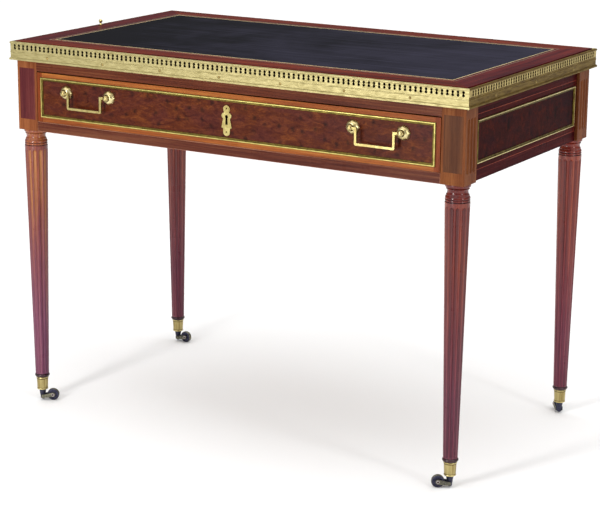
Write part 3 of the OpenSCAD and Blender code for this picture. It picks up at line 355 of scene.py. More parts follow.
def leg_outline():
    """Radius and height of the turning from the foot tenon upwards, its beads and hollow as arcs. The
    shaft has rows where its flutes end, close together as a circle seen from above, and along them."""
    foot_tenon = [[0.0093, 0.0255], [0.0111, cup_mouth], [0.0121, cup_mouth]]
    collar = arc((0.01225, cup_mouth + 0.0039), 0.003, -90, 90, 11)
    foot_groove = [[0.0121, shaft_foot - 0.0009], [0.0121, shaft_foot]]
    closing = np.sin(np.radians(np.linspace(5, 90, 9)))
    rows = np.concatenate([
        [shaft_foot], (flute_low - tool_share * shaft_radius(flute_low) * closing)[::-1],
        np.linspace(flute_low, flute_high, 14),
        flute_high + tool_share * shaft_radius(flute_high) * closing, [shaft_top]])
    shaft = np.column_stack([shaft_radius(rows), rows])[np.diff(rows, prepend=0) > 2e-5]
    ring_groove = [[groove_r, shaft_top], [groove_r, lower_ring_foot]]
    lower_ring = arc((0.0205, lower_ring_foot + 0.0023), 0.0023, -90, 90, 11)
    step = [[groove_r, lower_ring_foot + 0.0046], [groove_r, upper_ring_foot], [0.0228, upper_ring_foot]]
    upper_ring = arc((0.0166, upper_ring_foot + 0.0009), 0.0062, 0, 52, 9)
    hollow = arc((0.026975, neck_foot + 0.00725), 0.007975, 224, 136, 15)
    disc = arc((0.0196, disc_foot + 0.0039), 0.0039, -90, 0, 8)
    rim = [[0.0235, frieze_bottom - 0.0002], [0.0205, frieze_bottom + 0.0004]]
    return eased(np.vstack([foot_tenon, collar, foot_groove, shaft, ring_groove, lower_ring, step,
                            upper_ring, hollow, disc, rim]), ease)


def between(values, low, high):
    """Where the values lie between two others."""
    return (values > low) & (values < high)


def fluted_shaft(angles):
    """Turned part as rows of points. A flute is where the round tool, a cylinder with ball ends whose
    axis leans with the shaft, bites in: its near surface lies at a cos t - sqrt(c^2 - (a sin t)^2) from
    the leg's axis, with a the tool's distance, c its radius and t the angle from the flute's middle."""
    outline = leg_outline()
    radius, height = outline[:, :1], outline[:, 1:]
    swing = np.radians((np.degrees(angles) + 180 / flutes) % (360 / flutes) - 180 / flutes)[None, :]
    nearest = np.clip(height, flute_low, flute_high)
    tool = tool_share * shaft_radius(nearest)
    away = (1 + tool_share - flute_depth / shaft_top_r) * shaft_radius(nearest)
    bite = tool ** 2 - (height - nearest) ** 2 - (away * np.sin(swing)) ** 2
    cut = away * np.cos(swing) - np.sqrt(np.clip(bite, 0, None))
    bitten = (bite > 0) & between(height, shaft_foot, shaft_top)
    radius = np.where(bitten, np.minimum(radius, cut), radius)
    return np.stack([radius * np.cos(angles), radius * np.sin(angles), height + 0 * radius], -1)


def block_grid(panel_half, panel_low, panel_high):
    """Square block as rows of points round its four sides, its edges taken off by a small ease. On the
    outer side, +X, three flutes are cut by a round tool: its near surface lies at a - sqrt(c^2 - y^2),
    with a and c as for the shaft and y the distance from the flute's middle."""
    edge = block_half - ease
    plain = np.array([-edge, ease - edge, -panel_half, panel_half, edge - ease, edge])
    half_width, depth, pitch, end_margin = 0.004, 0.0024, 0.012, 0.0245
    tool = cutter_radius(2 * half_width, depth)
    middles = np.array([-pitch, 0.0, pitch])
    beside = half_width + np.array([-0.00025, 0, 0.00025])
    across_flute = np.concatenate([-beside[::-1], [-0.0028, -0.0014, 0, 0.0014, 0.0028], beside])
    fluted = np.concatenate([
        [-edge, ease - edge], (middles[:, None] + across_flute).ravel(), [edge - ease, edge]])
    flute_low, flute_high = frieze_bottom + end_margin, frieze_top - end_margin
    end = half_width * np.sin(np.radians(np.linspace(0, 90, 7)))
    height = np.unique(np.concatenate([
        frieze_bottom + np.array([0, ease, 2 * ease]), frieze_top - np.array([0, ease, 2 * ease]),
        [panel_low, panel_high, flute_low - beside[-1], flute_high + beside[-1]],
        flute_low - end, flute_high + end]))
    grow = 1 - np.clip(ease - np.minimum(height - frieze_bottom, frieze_top - height), 0, None) / block_half
    half = np.full(len(plain), block_half)
    x = np.concatenate([np.full(len(fluted), block_half), -plain, -half, plain])
    y = np.concatenate([fluted, half, -plain, -half])
    grid = np.stack([x * grow[:, None], y * grow[:, None], height[:, None] + 0 * x], -1)
    side = grid[:, :len(fluted)]
    from_middle = np.abs(side[:, :, 1:2] - middles).min(-1)
    past_end = side[..., 2] - np.clip(side[..., 2], flute_low, flute_high)
    bite = tool ** 2 - from_middle ** 2 - past_end ** 2
    cut = block_half + tool - depth - np.sqrt(np.clip(bite, 0, None))
    side[..., 0] = np.where(bite > 0, np.minimum(side[..., 0], cut), side[..., 0])
    return grid


def faces_of(mesh):
    """Middle and direction of every face of a mesh, as two arrays."""
    middle, direction = np.zeros(len(mesh.polygons) * 3), np.zeros(len(mesh.polygons) * 3)
    mesh.polygons.foreach_get("center", middle)
    mesh.polygons.foreach_get("normal", direction)
    return middle.reshape(-1, 3), direction.reshape(-1, 3)


def give_materials(mesh, numbers):
    """Gives each face of a mesh the material with its number."""
    mesh.polygons.foreach_set("material_index", numbers.astype(int))


# Painted light on the legs: the foot colours are a purple cast of the light near the floor, and hollow
# paints the flutes lighter on the front left leg and darker on the others.
gold_leg = wood("golden leg mahogany", (92, 36, 46), (126, 64, 46), (168, 110, 54), grain="Z",
                foot=((84, 38, 66), (116, 62, 84), (150, 102, 104)), hollow=0.06, coat=0.65)
red_leg = wood("red leg mahogany", (68, 18, 20), (94, 32, 26), (128, 60, 42), grain="Z", seed=1.0,
               foot=((58, 16, 36), (80, 30, 48), (112, 56, 68)), hollow=-0.06, coat=0.65)
back_leg = wood("back leg mahogany", (82, 24, 24), (112, 42, 33), (150, 76, 52), grain="Z", seed=1.2,
                foot=((70, 20, 42), (96, 38, 56), (132, 70, 78)), hollow=-0.05, coat=0.65)
# Painted shade: a much darker wood for the grooves by the rings and for the collar at the foot, standing in
# for the shade in them.
groove_shade_wood = wood("painted shade in the grooves", (36, 14, 24), (50, 22, 32), (66, 32, 40), grain="Z", seed=1.5,
                 coat=0.8)
block_wood = wood("block mahogany", (88, 49, 30), (107, 62, 38), (127, 79, 47), grain="Z", seed=2.0,
                  level=0.03, coat=0.0)
pale_block_wood = wood("pale block mahogany", (98, 55, 34), (119, 69, 44), (141, 88, 55), grain="Z",
                       seed=2.4, level=0.03, coat=0.0)
red_veneer = wood("red block veneer", (66, 26, 32), (82, 36, 38), (98, 50, 46), grain="Z", fine=0.8,
                  seed=4.0)
brown_veneer = wood("brown block veneer", (64, 34, 18), (80, 46, 25), (100, 60, 33), grain="Z", fine=0.8,
                    seed=4.5)
veneer_half = 0.0187
veneer_low, veneer_high = frieze_bottom + 0.0225, frieze_top - 0.0155
arris = math.degrees(math.asin(flute_width / 2 / shaft_top_r))
at_arris = arris + np.array([-0.5, 0, 0.5])
steps = np.concatenate([[-180 / flutes], -at_arris[::-1], np.linspace(-9, 9, 7), at_arris])
leg_angles = np.radians((np.arange(flutes)[:, None] * 360 / flutes + steps).ravel())
right_leg = [fluted_shaft(leg_angles), block_grid(veneer_half, veneer_low, veneer_high)]
for corner in corners:
    turn = -1.0 if "left" in corner else 1.0
    axis = upright("leg_" + corner)
    mesh = closed_tubes("leg " + corner, [grid * [turn, turn, 1] + axis for grid in right_leg])
    middle = faces_of(mesh)[0] - axis
    from_axis, height = np.hypot(middle[:, 0], middle[:, 1]), middle[:, 2]
    in_block = height > frieze_bottom + hair
    # Painted shade: the faces in the grooves by the rings and those of the collar below the shaft take the
    # dark groove wood.
    at_rings = (from_axis < groove_r + 2 * hair) & between(height, shaft_top, upper_ring_foot)
    painted_groove_shade = at_rings | (height < shaft_foot)
    veneered = (np.abs(middle[:, 1]) > block_half - hair) & (np.abs(middle[:, 0]) < veneer_half)
    veneered &= between(height, veneer_low, veneer_high)
    give_materials(mesh, 1 * in_block + veneered + 3 * painted_groove_shade)
    spot = np.zeros(len(mesh.vertices) * 3)
    mesh.vertices.foreach_get("co", spot)
    spot = spot.reshape(-1, 3) - axis
    depth = (shaft_radius(spot[:, 2]) - np.hypot(spot[:, 0], spot[:, 1])) / flute_depth
    fluted = between(spot[:, 2], shaft_foot, shaft_top)
    mesh.attributes.new("hollow", "FLOAT", "POINT").data.foreach_set(
        "value", np.where(fluted, np.clip(depth, 0, 1), 0.5).astype(np.float32))
    leg_wood = {"front_left": gold_leg, "front_right": red_leg}.get(corner, back_leg)
    block_woods = [pale_block_wood, red_veneer] if "left" in corner else [block_wood, brown_veneer]
    woods = [leg_wood, *block_woods, groove_shade_wood]
    place("leg." + corner, mesh, woods, "table", "leg_" + corner)


# Sabots
# Each foot stands in a spun brass cup, held there by the stem of its caster. A round wire runs round
# its mouth and another round its foot; between them the brass is painted darker, with upright streaks,
# as shade and reflections, and beside the wires it is darker still as painted shade.
def metal(name, bright, stain, smooth, scale=(90.0, 90.0, 90.0), shiny=1.0, seed=0.0):
    """Old metal: where a noise is low, its colour drifts from bright to the stain and it is less smooth.
    The scale of the noise for each axis makes spots, or streaks where it is stretched."""
    material, tree, shader, point = paint(name)
    shader.inputs["Metallic"].default_value = shiny
    wear = noise(tree, point, scale, 5.0, seed)
    colour = coloured(tree, wear, (0.32, 0.6), (stain, bright))
    roughness = ranged(tree, wear, 0.3, 0.65, smooth + 0.1, smooth)
    surface(tree, shader, colour, roughness, wear, 0.08, 0.0003)
    return material


def finish(material, *nodes):
    """Gives CAD nodes one material in place of their own."""
    for node in nodes:
        cad_nodes[node].data.materials.clear()
        cad_nodes[node].data.materials.append(material)


def turned(outline, sides=48):
    """Points of a turning: each point of the outline, a radius and a height, is carried round the axis."""
    angles = np.radians(np.arange(sides) * 360 / sides)[None, :]
    radius, height = np.array(outline)[:, :1], np.array(outline)[:, 1:]
    return np.stack([radius * np.cos(angles), radius * np.sin(angles), height + 0 * angles], -1)


def hollow_turning(outline, sides=48):
    """The same for an outline that comes back to its first point, so that the turning has a bore."""
    return turned(np.vstack([outline, outline[:1]]), sides)


brass = metal("brass", (214, 198, 138), (184, 164, 106), 0.26)
# Painted shade and reflections: the cup's body takes this darker brass with upright streaks. The groove
# brass, also the real tarnish of the lock and axle, darkens the bands beside the wires as painted shade.
dull_shaded_brass = metal("cup brass with painted shade", (184, 168, 116), (140, 122, 76), 0.3, scale=(300.0, 300.0, 12.0))
tarnish_and_shade = metal("tarnish and painted shade in the grooves", (84, 66, 36), (48, 36, 22), 0.5)
cup_foot = 0.024
cup_outline = np.vstack([
    [[0.0042, cup_foot], [0.0098, cup_foot]],
    arc((0.01016, cup_foot + 0.0014), 0.0014, -90, 82, 9),
    [[0.01085, cup_foot + 0.0031], [0.0109, cup_foot + 0.0039], [0.0118, cup_mouth - 0.0043],
     [0.0117, cup_mouth - 0.0033]],
    arc((0.01155, cup_mouth - 0.0014), 0.0014, -70, 90, 9),
    [[0.0112, cup_mouth], [0.0096, cup_foot + 0.0013], [0.0042, cup_foot + 0.0013]],
])
for corner in corners:
    cup = hollow_turning(eased(cup_outline, hair)) + upright("sabot_" + corner)
    mesh = closed_tubes("cup " + corner, [cup], capped=False)
    height = faces_of(mesh)[0][:, 2]
    # Painted shade: the body between the wires is darker, and the bands beside the wires darker still.
    body = between(height, cup_foot + 0.0028, cup_mouth - 0.003)
    groove = body & ~between(height, cup_foot + 0.0038, cup_mouth - 0.0042)
    give_materials(mesh, 1 * body + groove)
    place("sabot." + corner, mesh, [brass, dull_shaded_brass, tarnish_and_shade], "table", "sabot_" + corner)


# Casters
# Old iron casters: a horn that tapers down from the cup and swivels in it, two cheeks that hold a
# riveted axle, and a small wheel with a rounded tread and a sunk web.
iron = metal("old iron", (70, 70, 88), (40, 40, 54), 0.42, scale=[260.0] * 3, shiny=0.85)
rubbed_iron = metal("rubbed iron", (196, 188, 190), (140, 132, 138), 0.3, scale=[220.0] * 3, shiny=0.9)
worn_iron = metal("worn iron", (124, 122, 100), (66, 64, 68), 0.4, scale=[200.0] * 3, shiny=0.9)
axle_height, trail = 0.0123, 0.022
horn = np.vstack([arc((0.0012, 0.0052), 0.0032, -90, -12, 8), [[0.007, 0.0222]],
                  arc((0.0062, 0.0227), 0.001, -10, 90, 6), [[0.004, 0.0237], [0.004, 0.0698]]])
lug = np.vstack([[[0.001, 0.005]], arc((0.0061, 0.0062), 0.0012, -90, 0, 5),
                  arc((0.0061, 0.0111), 0.0012, 0, 90, 5), [[0.001, 0.0123]]])
tread = np.vstack([arc((0.0099, -0.0021), 0.0024, -90, 0, 7), arc((0.0099, 0.0021), 0.0024, 0, 90, 7)])
wheel_side = [[0.0089, 0.0045], [0.0086, 0.0031], [0.0046, 0.0031], [0.0044, 0.0045], [0.00205, 0.0045]]
wheel = np.vstack([tread, wheel_side, np.array(wheel_side)[::-1] * [1, -1]])
rivet = np.vstack([[[0.0004, -0.0078], [0.0018, -0.0078], [0.002, -0.0082]],
                   arc((0.0023, -0.0075), 0.0009, -80, 0, 6),
                   [[0.0032, -0.0073], [0.002, -0.0073], [0.002, 0.0]]])
axle = np.vstack([rivet, rivet[::-1] * [1, -1]])


def cheek(side):
    """Flat bar with softened edges: an outline in (x, z), from the horn out to a round eye, swept across
    its thickness and drawn in by half a millimetre at both faces."""
    eye = arc((trail, axle_height), 0.0046, -100, 100, 17)
    outline = np.vstack([eye, [[0.012, 0.0146], [0.003, 0.0125], [0.0, 0.0123], [-0.001, 0.0085],
                               [0.0, 0.005], [0.003, 0.0049], [0.012, 0.0062]]])
    middle = np.array([0.013, 0.0095])
    small = middle + (outline - middle) * (1 - 0.0005 / 0.008)
    depths = np.array([0.0048, 0.0052, 0.0069, 0.0073]) * side
    rings = [small, outline, outline, small]
    grid = np.stack([np.insert(ring, 1, depth, axis=1) for ring, depth in zip(rings, depths)])
    return grid if side > 0 else grid[::-1]


def laid_over(grid):
    """A turning made about Z, laid on its side so that its axis runs along Y at the axle."""
    return np.stack([grid[..., 0] + trail, grid[..., 2], axle_height - grid[..., 1]], -1)


lug_share = 0.66
rubbed_from = {"axle": 0.0019, "wheel": 0.0114}
for corner in corners:
    axis = upright("sabot_" + corner)
    along = upright("caster_axle_" + corner) - axis
    along /= np.linalg.norm(along)
    turn = np.array([along, [-along[1], along[0], 0], [0, 0, 1]])
    fork_parts = (turned(horn, 32), turned(lug, 32) * [lug_share, 1, 1], cheek(1), cheek(-1))
    fork = closed_tubes("fork " + corner, [part @ turn + axis for part in fork_parts])
    pin = closed_tubes("axle " + corner, [laid_over(turned(axle, 24)) @ turn + axis])
    tyre = laid_over(hollow_turning(wheel, 40)) @ turn + axis
    roller = closed_tubes("wheel " + corner, [tyre], capped=False)
    hub = axis + trail * along + [0, 0, axle_height]
    for part, mesh, metals, body in (("fork", fork, [iron, worn_iron], "caster_"),
                                     ("axle", pin, [tarnish_and_shade, rubbed_iron], "caster_"),
                                     ("wheel", roller, [iron, worn_iron], "wheel_")):
        from_hub = faces_of(mesh)[0] - hub
        sideways = np.abs(from_hub @ turn[1])
        outward = np.sqrt(np.clip((from_hub ** 2).sum(1) - sideways ** 2, 0, None))
        on_cheek = between(sideways, 0.0068, 0.0074)
        rubbed = on_cheek if part == "fork" else outward > rubbed_from[part]
        give_materials(mesh, rubbed)
        place("caster." + part + "." + corner, mesh, metals, body + corner,
              "caster_" + part + "_" + corner)


# Frieze
# Mahogany rails over and under the drawer, and an apron at each side and at the back, all tenoned
# into the blocks. The side and back aprons are veneered with a dark panel inside a brass moulding,
# a banding round it and a fine pale line round the banding.
def softened(node, materials, size=0.0005, cuts=(), arris=-1, name=None):
    """A merged copy of a CAD node with its arrises taken off by a bevel. Cuts are planes, each a
    point and a direction, that split its faces so that each side of a cut can have its own veneer.
    Arris is the number of the material for the bevels, or -1 for that of the faces beside them.
    The piece is named as its node, with dots, if no name is given."""
    name = name or node.replace("_", ".")
    shape = bmesh.new()
    shape.from_mesh(cad_nodes[node].data)
    bmesh.ops.remove_doubles(shape, verts=shape.verts, dist=1e-6)
    bmesh.ops.dissolve_limit(shape, angle_limit=math.radians(0.5), verts=shape.verts, edges=shape.edges)
    for point, direction in cuts:
        everything = shape.verts[:] + shape.edges[:] + shape.faces[:]
        bmesh.ops.bisect_plane(shape, geom=everything, plane_co=point, plane_no=direction, dist=1e-7)
    mesh = bpy.data.meshes.new(name)
    shape.to_mesh(mesh)
    shape.free()
    mesh.shade_smooth()
    mesh.set_sharp_from_angle(angle=math.radians(30))
    piece = place(name, mesh, materials, cad_nodes[node]["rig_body"], node)
    bevel = piece.modifiers.new("arrises", "BEVEL")
    bevel.width = size
    bevel.segments = 2
    bevel.limit_method = "ANGLE"
    bevel.angle_limit = math.radians(30)
    bevel.harden_normals = True
    bevel.material = arris
    return piece


def level_cuts(*heights):
    """Level planes at some heights, for softened."""
    return [((0, 0, height), (0, 0, 1)) for height in heights]


rail_wood = wood("rail mahogany", (67, 32, 22), (89, 45, 30), (114, 69, 44), grain="X", seed=6.0)
side_wood = wood("side mahogany", (44, 13, 16), (58, 20, 23), (78, 31, 30), grain="Y", seed=7.0,
                 level=0.01, coat=0.0)
# Painted shade: a darker copy of the rail mahogany for the lower rail, against the light the floor throws
# up on it.
shaded_lower_rail_wood = wood("lower rail mahogany in painted shade", (60, 28, 22), (80, 40, 30), (103, 62, 44), grain="X",
                       seed=6.2)
# Lighter wood for the lower rail's bevelled arrises: partly wear, partly a painted highlight where the edge
# catches the light.
worn_edge_and_highlight = wood("worn rail edge and painted highlight", (124, 78, 60), (147, 97, 76), (174, 124, 98), grain="X", seed=6.5)
softened("front_top_rail", [rail_wood], size=0.0003)
softened("front_bottom_rail", [shaded_lower_rail_wood, worn_edge_and_highlight], size=0.0009, arris=1)


def burr(name, dark, middle, light, cast, along="X", grain=(1.0, 1.0, 1.0), seed=0.0, eyes=40.0,
         tall=1.0, level=0.08):
    """Knotted veneer: bent clouds of colour and fine fibres, with a wider cast of another colour, and
    small dark eyes at the middles of some cells of a flat Voronoi pattern over the length and the
    height, which a noise pulls out of round. Tall is the share of the height: a small one makes slits."""
    material, tree, shader, point = paint(name)
    clouds = noise(tree, point, [axis * 62.0 for axis in grain], 8.0, seed, 0.68, 1.2)
    fibres = noise(tree, point, [axis * 420.0 for axis in grain], 4.0, seed + 2.0)
    tone = weighted(tree, clouds, 0.7, fibres)
    colour = coloured(tree, tone, (0.36, 0.5, 0.66), (dark, middle, light))
    wide = ranged(tree, noise(tree, point, (11.0, 11.0, 22.0), 3.0, seed + 6.0), 0.42, 0.6, 0.0, 0.75)
    colour = mixed(tree, colour, coloured(tree, tone, (0.36, 0.66), cast), wide)
    pulled = tree.nodes.new("ShaderNodeVectorMath")
    pulled.operation = "ADD"
    tree.links.new(point, pulled.inputs[0])
    shove = tree.nodes.new("ShaderNodeVectorMath")
    shove.operation = "SCALE"
    shove.inputs["Scale"].default_value = 0.007
    bend = tree.nodes.new("ShaderNodeTexNoise")
    bend.inputs["Scale"].default_value = 160.0
    tree.links.new(point, bend.inputs["Vector"])
    tree.links.new(bend.outputs["Color"], shove.inputs[0])
    tree.links.new(shove.outputs["Vector"], pulled.inputs[1])
    parts, flat = axes(tree, pulled.outputs["Vector"]), tree.nodes.new("ShaderNodeCombineXYZ")
    tree.links.new(parts[along], flat.inputs["X"])
    tree.links.new(maths(tree, "MULTIPLY", parts["Z"], tall), flat.inputs["Y"])
    knots = tree.nodes.new("ShaderNodeTexVoronoi")
    knots.voronoi_dimensions = "2D"
    knots.inputs["Scale"].default_value = eyes
    tree.links.new(flat.outputs["Vector"], knots.inputs["Vector"])
    chance = tree.nodes.new("ShaderNodeSeparateColor")
    tree.links.new(knots.outputs["Color"], chance.inputs["Color"])
    missing = ranged(tree, chance.outputs["Red"], 0.3, 0.7, 1.0, 0.0)
    eye = ranged(tree, knots.outputs["Distance"], 0.04, 0.26, 0.25, 1.0)
    shade = maths(tree, "MAXIMUM", eye, missing)
    colour = mixed(tree, colour, shade, 0.8, "MULTIPLY")
    surface(tree, shader, colour, ranged(tree, clouds, 0.3, 0.7, 0.26, 0.4), fibres, 0.06, 0.0004)
    polished(shader, level, level / 2)
    return material


side_veneer = burr("side veneer", (36, 11, 11), (52, 17, 14), (74, 31, 21), ((26, 9, 15), (48, 19, 26)),
                   along="Y", seed=3.0, eyes=30.0, tall=0.35, level=0.01)
pale_line = wood("reddish line", (104, 42, 32), (124, 54, 40), (142, 70, 50), grain="Y", seed=9.0,
                 level=0.02)
banding_x = wood("front banding", (108, 54, 28), (134, 73, 37), (160, 99, 48), grain="X", seed=11.0)
banding_y = wood("side banding", (46, 14, 16), (62, 22, 22), (82, 34, 30), grain="Y", seed=12.0,
                 level=0.01, coat=0.0)
band_margin, band_width, tuck = 0.0205, 0.0055, 0.002
band_low, band_high = frieze_bottom + band_margin, frieze_top - band_margin
frame_low, frame_high = (corner.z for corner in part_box("side_moulding_right"))
line_width = 0.001


def apron(node, across, moulding, woods):
    """Veneers an apron. Across is 0 or 1 for an apron that runs along X or Y; its outer face is split
    into the panel inside the moulding, the banding, the fine line and the plain wood beyond. The panel
    ends under the moulding, a tuck inside its outer edge."""
    moulding_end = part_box(moulding)[1][across]
    frame_end, band_end = moulding_end - tuck, moulding_end + band_width
    panel_low, panel_high = frame_low + tuck, frame_high - tuck
    line_low, line_high = band_low - line_width, band_high + line_width
    along = np.eye(3)[across]
    ends = [frame_end, band_end, band_end + line_width]
    cuts = [(along * sign * end, along) for end in ends for sign in (-1, 1)]
    cuts += level_cuts(panel_low, panel_high, band_low, band_high, line_low, line_high)
    piece = softened(node, woods, cuts=cuts)
    middle, direction = faces_of(piece.data)
    outward = np.abs(direction[:, 1 - across]) > 0.9
    outward &= np.sign(direction[:, 1 - across]) == np.sign(middle[:, 1 - across])
    reach, height = np.abs(middle[:, across]), middle[:, 2]
    line = (reach < band_end + line_width) & between(height, line_low, line_high)
    band = (reach < band_end) & between(height, band_low, band_high)
    panel = (reach < frame_end) & between(height, panel_low, panel_high)
    give_materials(piece.data, outward * (1 * line + band + panel))


side_woods = [side_wood, pale_line, banding_y, side_veneer]
for side in ("left", "right"):
    apron("side_apron_" + side, 1, "side_moulding_" + side, side_woods)
back_veneer = burr("back veneer", (50, 22, 20), (70, 32, 26), (92, 46, 34), ((40, 18, 22), (66, 32, 36)),
                   seed=13.0)
apron("back_apron", 0, "back_moulding", [rail_wood, pale_line, banding_x, back_veneer])


def mitred(half_width, half_height, section):
    """Grid of a moulding carried round a rectangle and mitred. Each corner of the rectangle takes the
    whole section: it is moved in by a point's first number and out of the plane by its second."""
    signs = np.array([[-1, -1], [1, -1], [1, 1], [-1, 1], [-1, -1]])
    flat = signs[:, None] * (np.array([half_width, half_height]) - section[None, :, :1])
    return np.concatenate([flat, np.broadcast_to(section[None, :, 1:], flat[..., :1].shape)], -1)


def brass_frame(node, face, across, outward, bright, metals):
    """Brass moulding on a face of the frieze: an outer bead, a hollow and a thin inner lip. What lies
    outside the bright part, between two distances from the outer edge, is a darker brass as painted
    shade, and so is the upright beside a front leg, painted as the shade of the leg's block."""
    name = node.replace("_", ".")
    low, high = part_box(node)
    half = [(high[across] - low[across]) / 2, (high.z - low.z) / 2]
    centre = [(high[across] + low[across]) / 2, (high.z + low.z) / 2]
    section = np.vstack([[[0.0, 0.0], [0.0, 0.0008]], arc((0.0018, 0.0012), 0.00175, 170, 10, 13),
                         [[0.0038, 0.0011], [0.0046, 0.0009], [0.0052, 0.0012], [0.0056, 0.0014],
                          [0.006, 0.0011], [0.006, 0.0]]])
    flat = mitred(half[0], half[1], section)
    grid = np.zeros(flat.shape)
    grid[..., across] = flat[..., 0] + centre[0]
    grid[..., 2] = flat[..., 1] + centre[1]
    grid[..., 1 - across] = face + outward * flat[..., 2]
    mesh = closed_tubes(name, [grid], capped=False)
    middle = faces_of(mesh)[0]
    inwards = (np.array(half) - np.abs(middle[:, [across, 2]] - centre)).min(1)
    # Painted shade: the parts outside the lit band, and the upright beside a front leg, take the shade
    # brass.
    shaded_part = (inwards < bright[0]) | (inwards > bright[1])
    if across == 1:
        shaded_part |= middle[:, 1] < low.y + section[-1, 0]
    give_materials(mesh, shaded_part)
    place(name, mesh, metals, cad_nodes[node]["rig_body"], node)


line_brass = metal("moulding brass", (190, 178, 106), (152, 140, 80), 0.42, seed=2.0)
# Painted shade: a darker brass for the parts of the mouldings in shade.
shade_brass = metal("moulding brass in painted shade", (112, 98, 50), (76, 64, 34), 0.45, seed=3.0)
side_face, side_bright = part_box("side_apron_right")[1].x, (0.0006, 0.0022)
for side, outward in (("right", 1), ("left", -1)):
    brass_frame("side_moulding_" + side, outward * side_face, 1, outward, side_bright, [brass, shade_brass])
back_face, back_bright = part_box("back_apron")[1].y, (0.0, 0.0028)
brass_frame("back_moulding", back_face, 0, 1, back_bright, [line_brass, shade_brass])


# Carcase
# Plain oak runners, kickers and stops carry the drawer, and blocks are glued into the back corners.
# A mahogany board, screwed down, closes the top of the frame under the gallery.
oak = wood("drawer oak", (122, 88, 52), (146, 110, 68), (170, 134, 88), grain="Y", shine=0.55, seed=15.0)
oak_across = wood("carcase oak", (112, 80, 46), (136, 102, 62), (158, 122, 78), grain="X", shine=0.55,
                  seed=16.0)
steel = metal("screw steel", (150, 148, 142), (96, 88, 78), 0.4)
for side in ("left", "right"):
    softened("drawer_runner_" + side, [oak])
    softened("drawer_kicker_" + side, [oak])
finish(oak_across, "drawer_stops", "corner_blocks")
softened("sub_top", [rail_wood])
finish(steel, "top_screws")


# Gallery
# Four strips of cast brass, mitred at the corners and screwed to the edge of the fixed board: a lip
# and a fine bead along the foot, a row of waisted openings, and a rounded rail on top. The side strips
# are a darker brass as painted shade, the insides of their openings darker still as painted shade,
# and the faces of the bars between them lighter as a painted highlight.
front_brass = metal("front gallery brass", (175, 164, 118), (147, 136, 92), 0.5, scale=(60.0, 260.0, 260.0))
# Painted shade: the side strips are a darker brass than the front and back. Painted highlight: the faces of
# their bars take a lighter brass.
shaded_side_brass = metal("side gallery brass", (122, 100, 46), (88, 68, 36), 0.5, scale=(260.0, 40.0, 260.0))
bar_highlight_brass = metal("rubbed gallery brass", (186, 166, 104), (150, 130, 80), 0.4, seed=6.0)
screw_brass = metal("screw brass", (150, 132, 84), (108, 88, 52), 0.4)
gallery_ease = 0.0003
for side in ("front", "back"):
    softened("gallery_" + side, [front_brass], size=gallery_ease)
gallery_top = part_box("gallery_right")[1].z
pierced_low, pierced_high = gallery_top - 0.0163, gallery_top - 0.0047
for side in ("left", "right"):
    strip = softened("gallery_" + side, [shaded_side_brass, tarnish_and_shade, bar_highlight_brass],
                     size=gallery_ease, cuts=level_cuts(pierced_low, pierced_high))
    middle, direction = faces_of(strip.data)
    # Painted shade inside the side openings from the dark groove brass, and a painted highlight on the
    # faces of the bars.
    pierced = between(middle[:, 2], pierced_low, pierced_high)
    face = pierced & (np.abs(direction[:, 0]) > 0.9)
    give_materials(strip.data, 1 * pierced + face)
softened("gallery_screws", [screw_brass], size=0.0001)


# Top
# A loose mahogany panel lies inside the gallery, its border mitred round a sheet of black leather.
# A brass line runs along the leather's edge and a finer one further out; a small knob lifts the panel.
border_x = wood("border along the front", (70, 21, 18), (100, 35, 24), (131, 58, 36), grain="X", seed=18.0,
                level=0.03, coat=0.0)
border_y = wood("border along the sides", (60, 18, 28), (84, 28, 32), (110, 44, 40), grain="Y", seed=19.0,
                level=0.03, coat=0.0)
panel_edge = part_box("top_panel")[1]
mitres = [((x * panel_edge.x, y * panel_edge.y, 0), (x, -y, 0)) for x in (-1, 1) for y in (-1, 1)]
# Painted shade: a near-black wood for the panel's edges seen through the gallery's openings and for the
# sides of the keyhole.
shaded_edge = wood("edge in painted shade", (22, 12, 10), (30, 16, 13), (40, 22, 17), grain="X", seed=20.0,
                    level=0.03)
edge_foot = panel_edge.z - 0.0026
top = softened("top_panel", [border_x, border_y, shaded_edge], size=0.0002,
               cuts=mitres + level_cuts(edge_foot))
middle, direction = faces_of(top.data)
along_side = panel_edge.x - np.abs(middle[:, 0]) < panel_edge.y - np.abs(middle[:, 1])
# Painted shade: the upright edges of the panel, below their top strip, take the near-black edge wood.
at_edge = (np.abs(direction[:, 2]) < 0.5) & (middle[:, 2] < edge_foot)
give_materials(top.data, np.where(at_edge, 2, along_side))
cream_line = metal("worn line brass", (222, 206, 156), (186, 168, 116), 0.4, shiny=0.4)
grey_line = metal("dull line brass", (160, 146, 122), (120, 106, 88), 0.45, shiny=0.4)
outer_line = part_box("top_stringing")[1]
leather_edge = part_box("leather")[1]
wide_line, fine_line, sunk, proud, slope = 0.002, 0.001, 0.001, 0.00015, 0.0002
rings = []
for edge, width in ((leather_edge.x + wide_line, wide_line), (outer_line.x, fine_line)):
    section = np.array([[0, -sunk], [0, 0], [slope, proud],
                        [width - slope, proud], [width, 0], [width, -sunk]])
    rings.append(mitred(edge, edge - leather_edge.x + leather_edge.y, section) + [0, 0, outer_line.z])
lines = closed_tubes("lines", rings, capped=False)
beyond_leather = np.abs(faces_of(lines)[0][:, :2]) - [leather_edge.x, leather_edge.y]
give_materials(lines, beyond_leather.max(1) > 2 * wide_line)
place("top.stringing", lines, [cream_line, grey_line], "top_panel", "top_stringing")
knob_foot, neck_r, ball_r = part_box("lifting_knob")[0].z + 0.0002, 0.002, 0.004
knob_outline = np.vstack([[[0.0004, knob_foot], [neck_r, knob_foot], [neck_r, panel_edge.z]],
                          arc((0.0028, panel_edge.z + 0.0006), 0.0006, -60, 90, 5),
                          [[neck_r, panel_edge.z + 0.0022]],
                          arc((0.0, panel_edge.z + 2 * ball_r), ball_r, -60, 84, 14)])
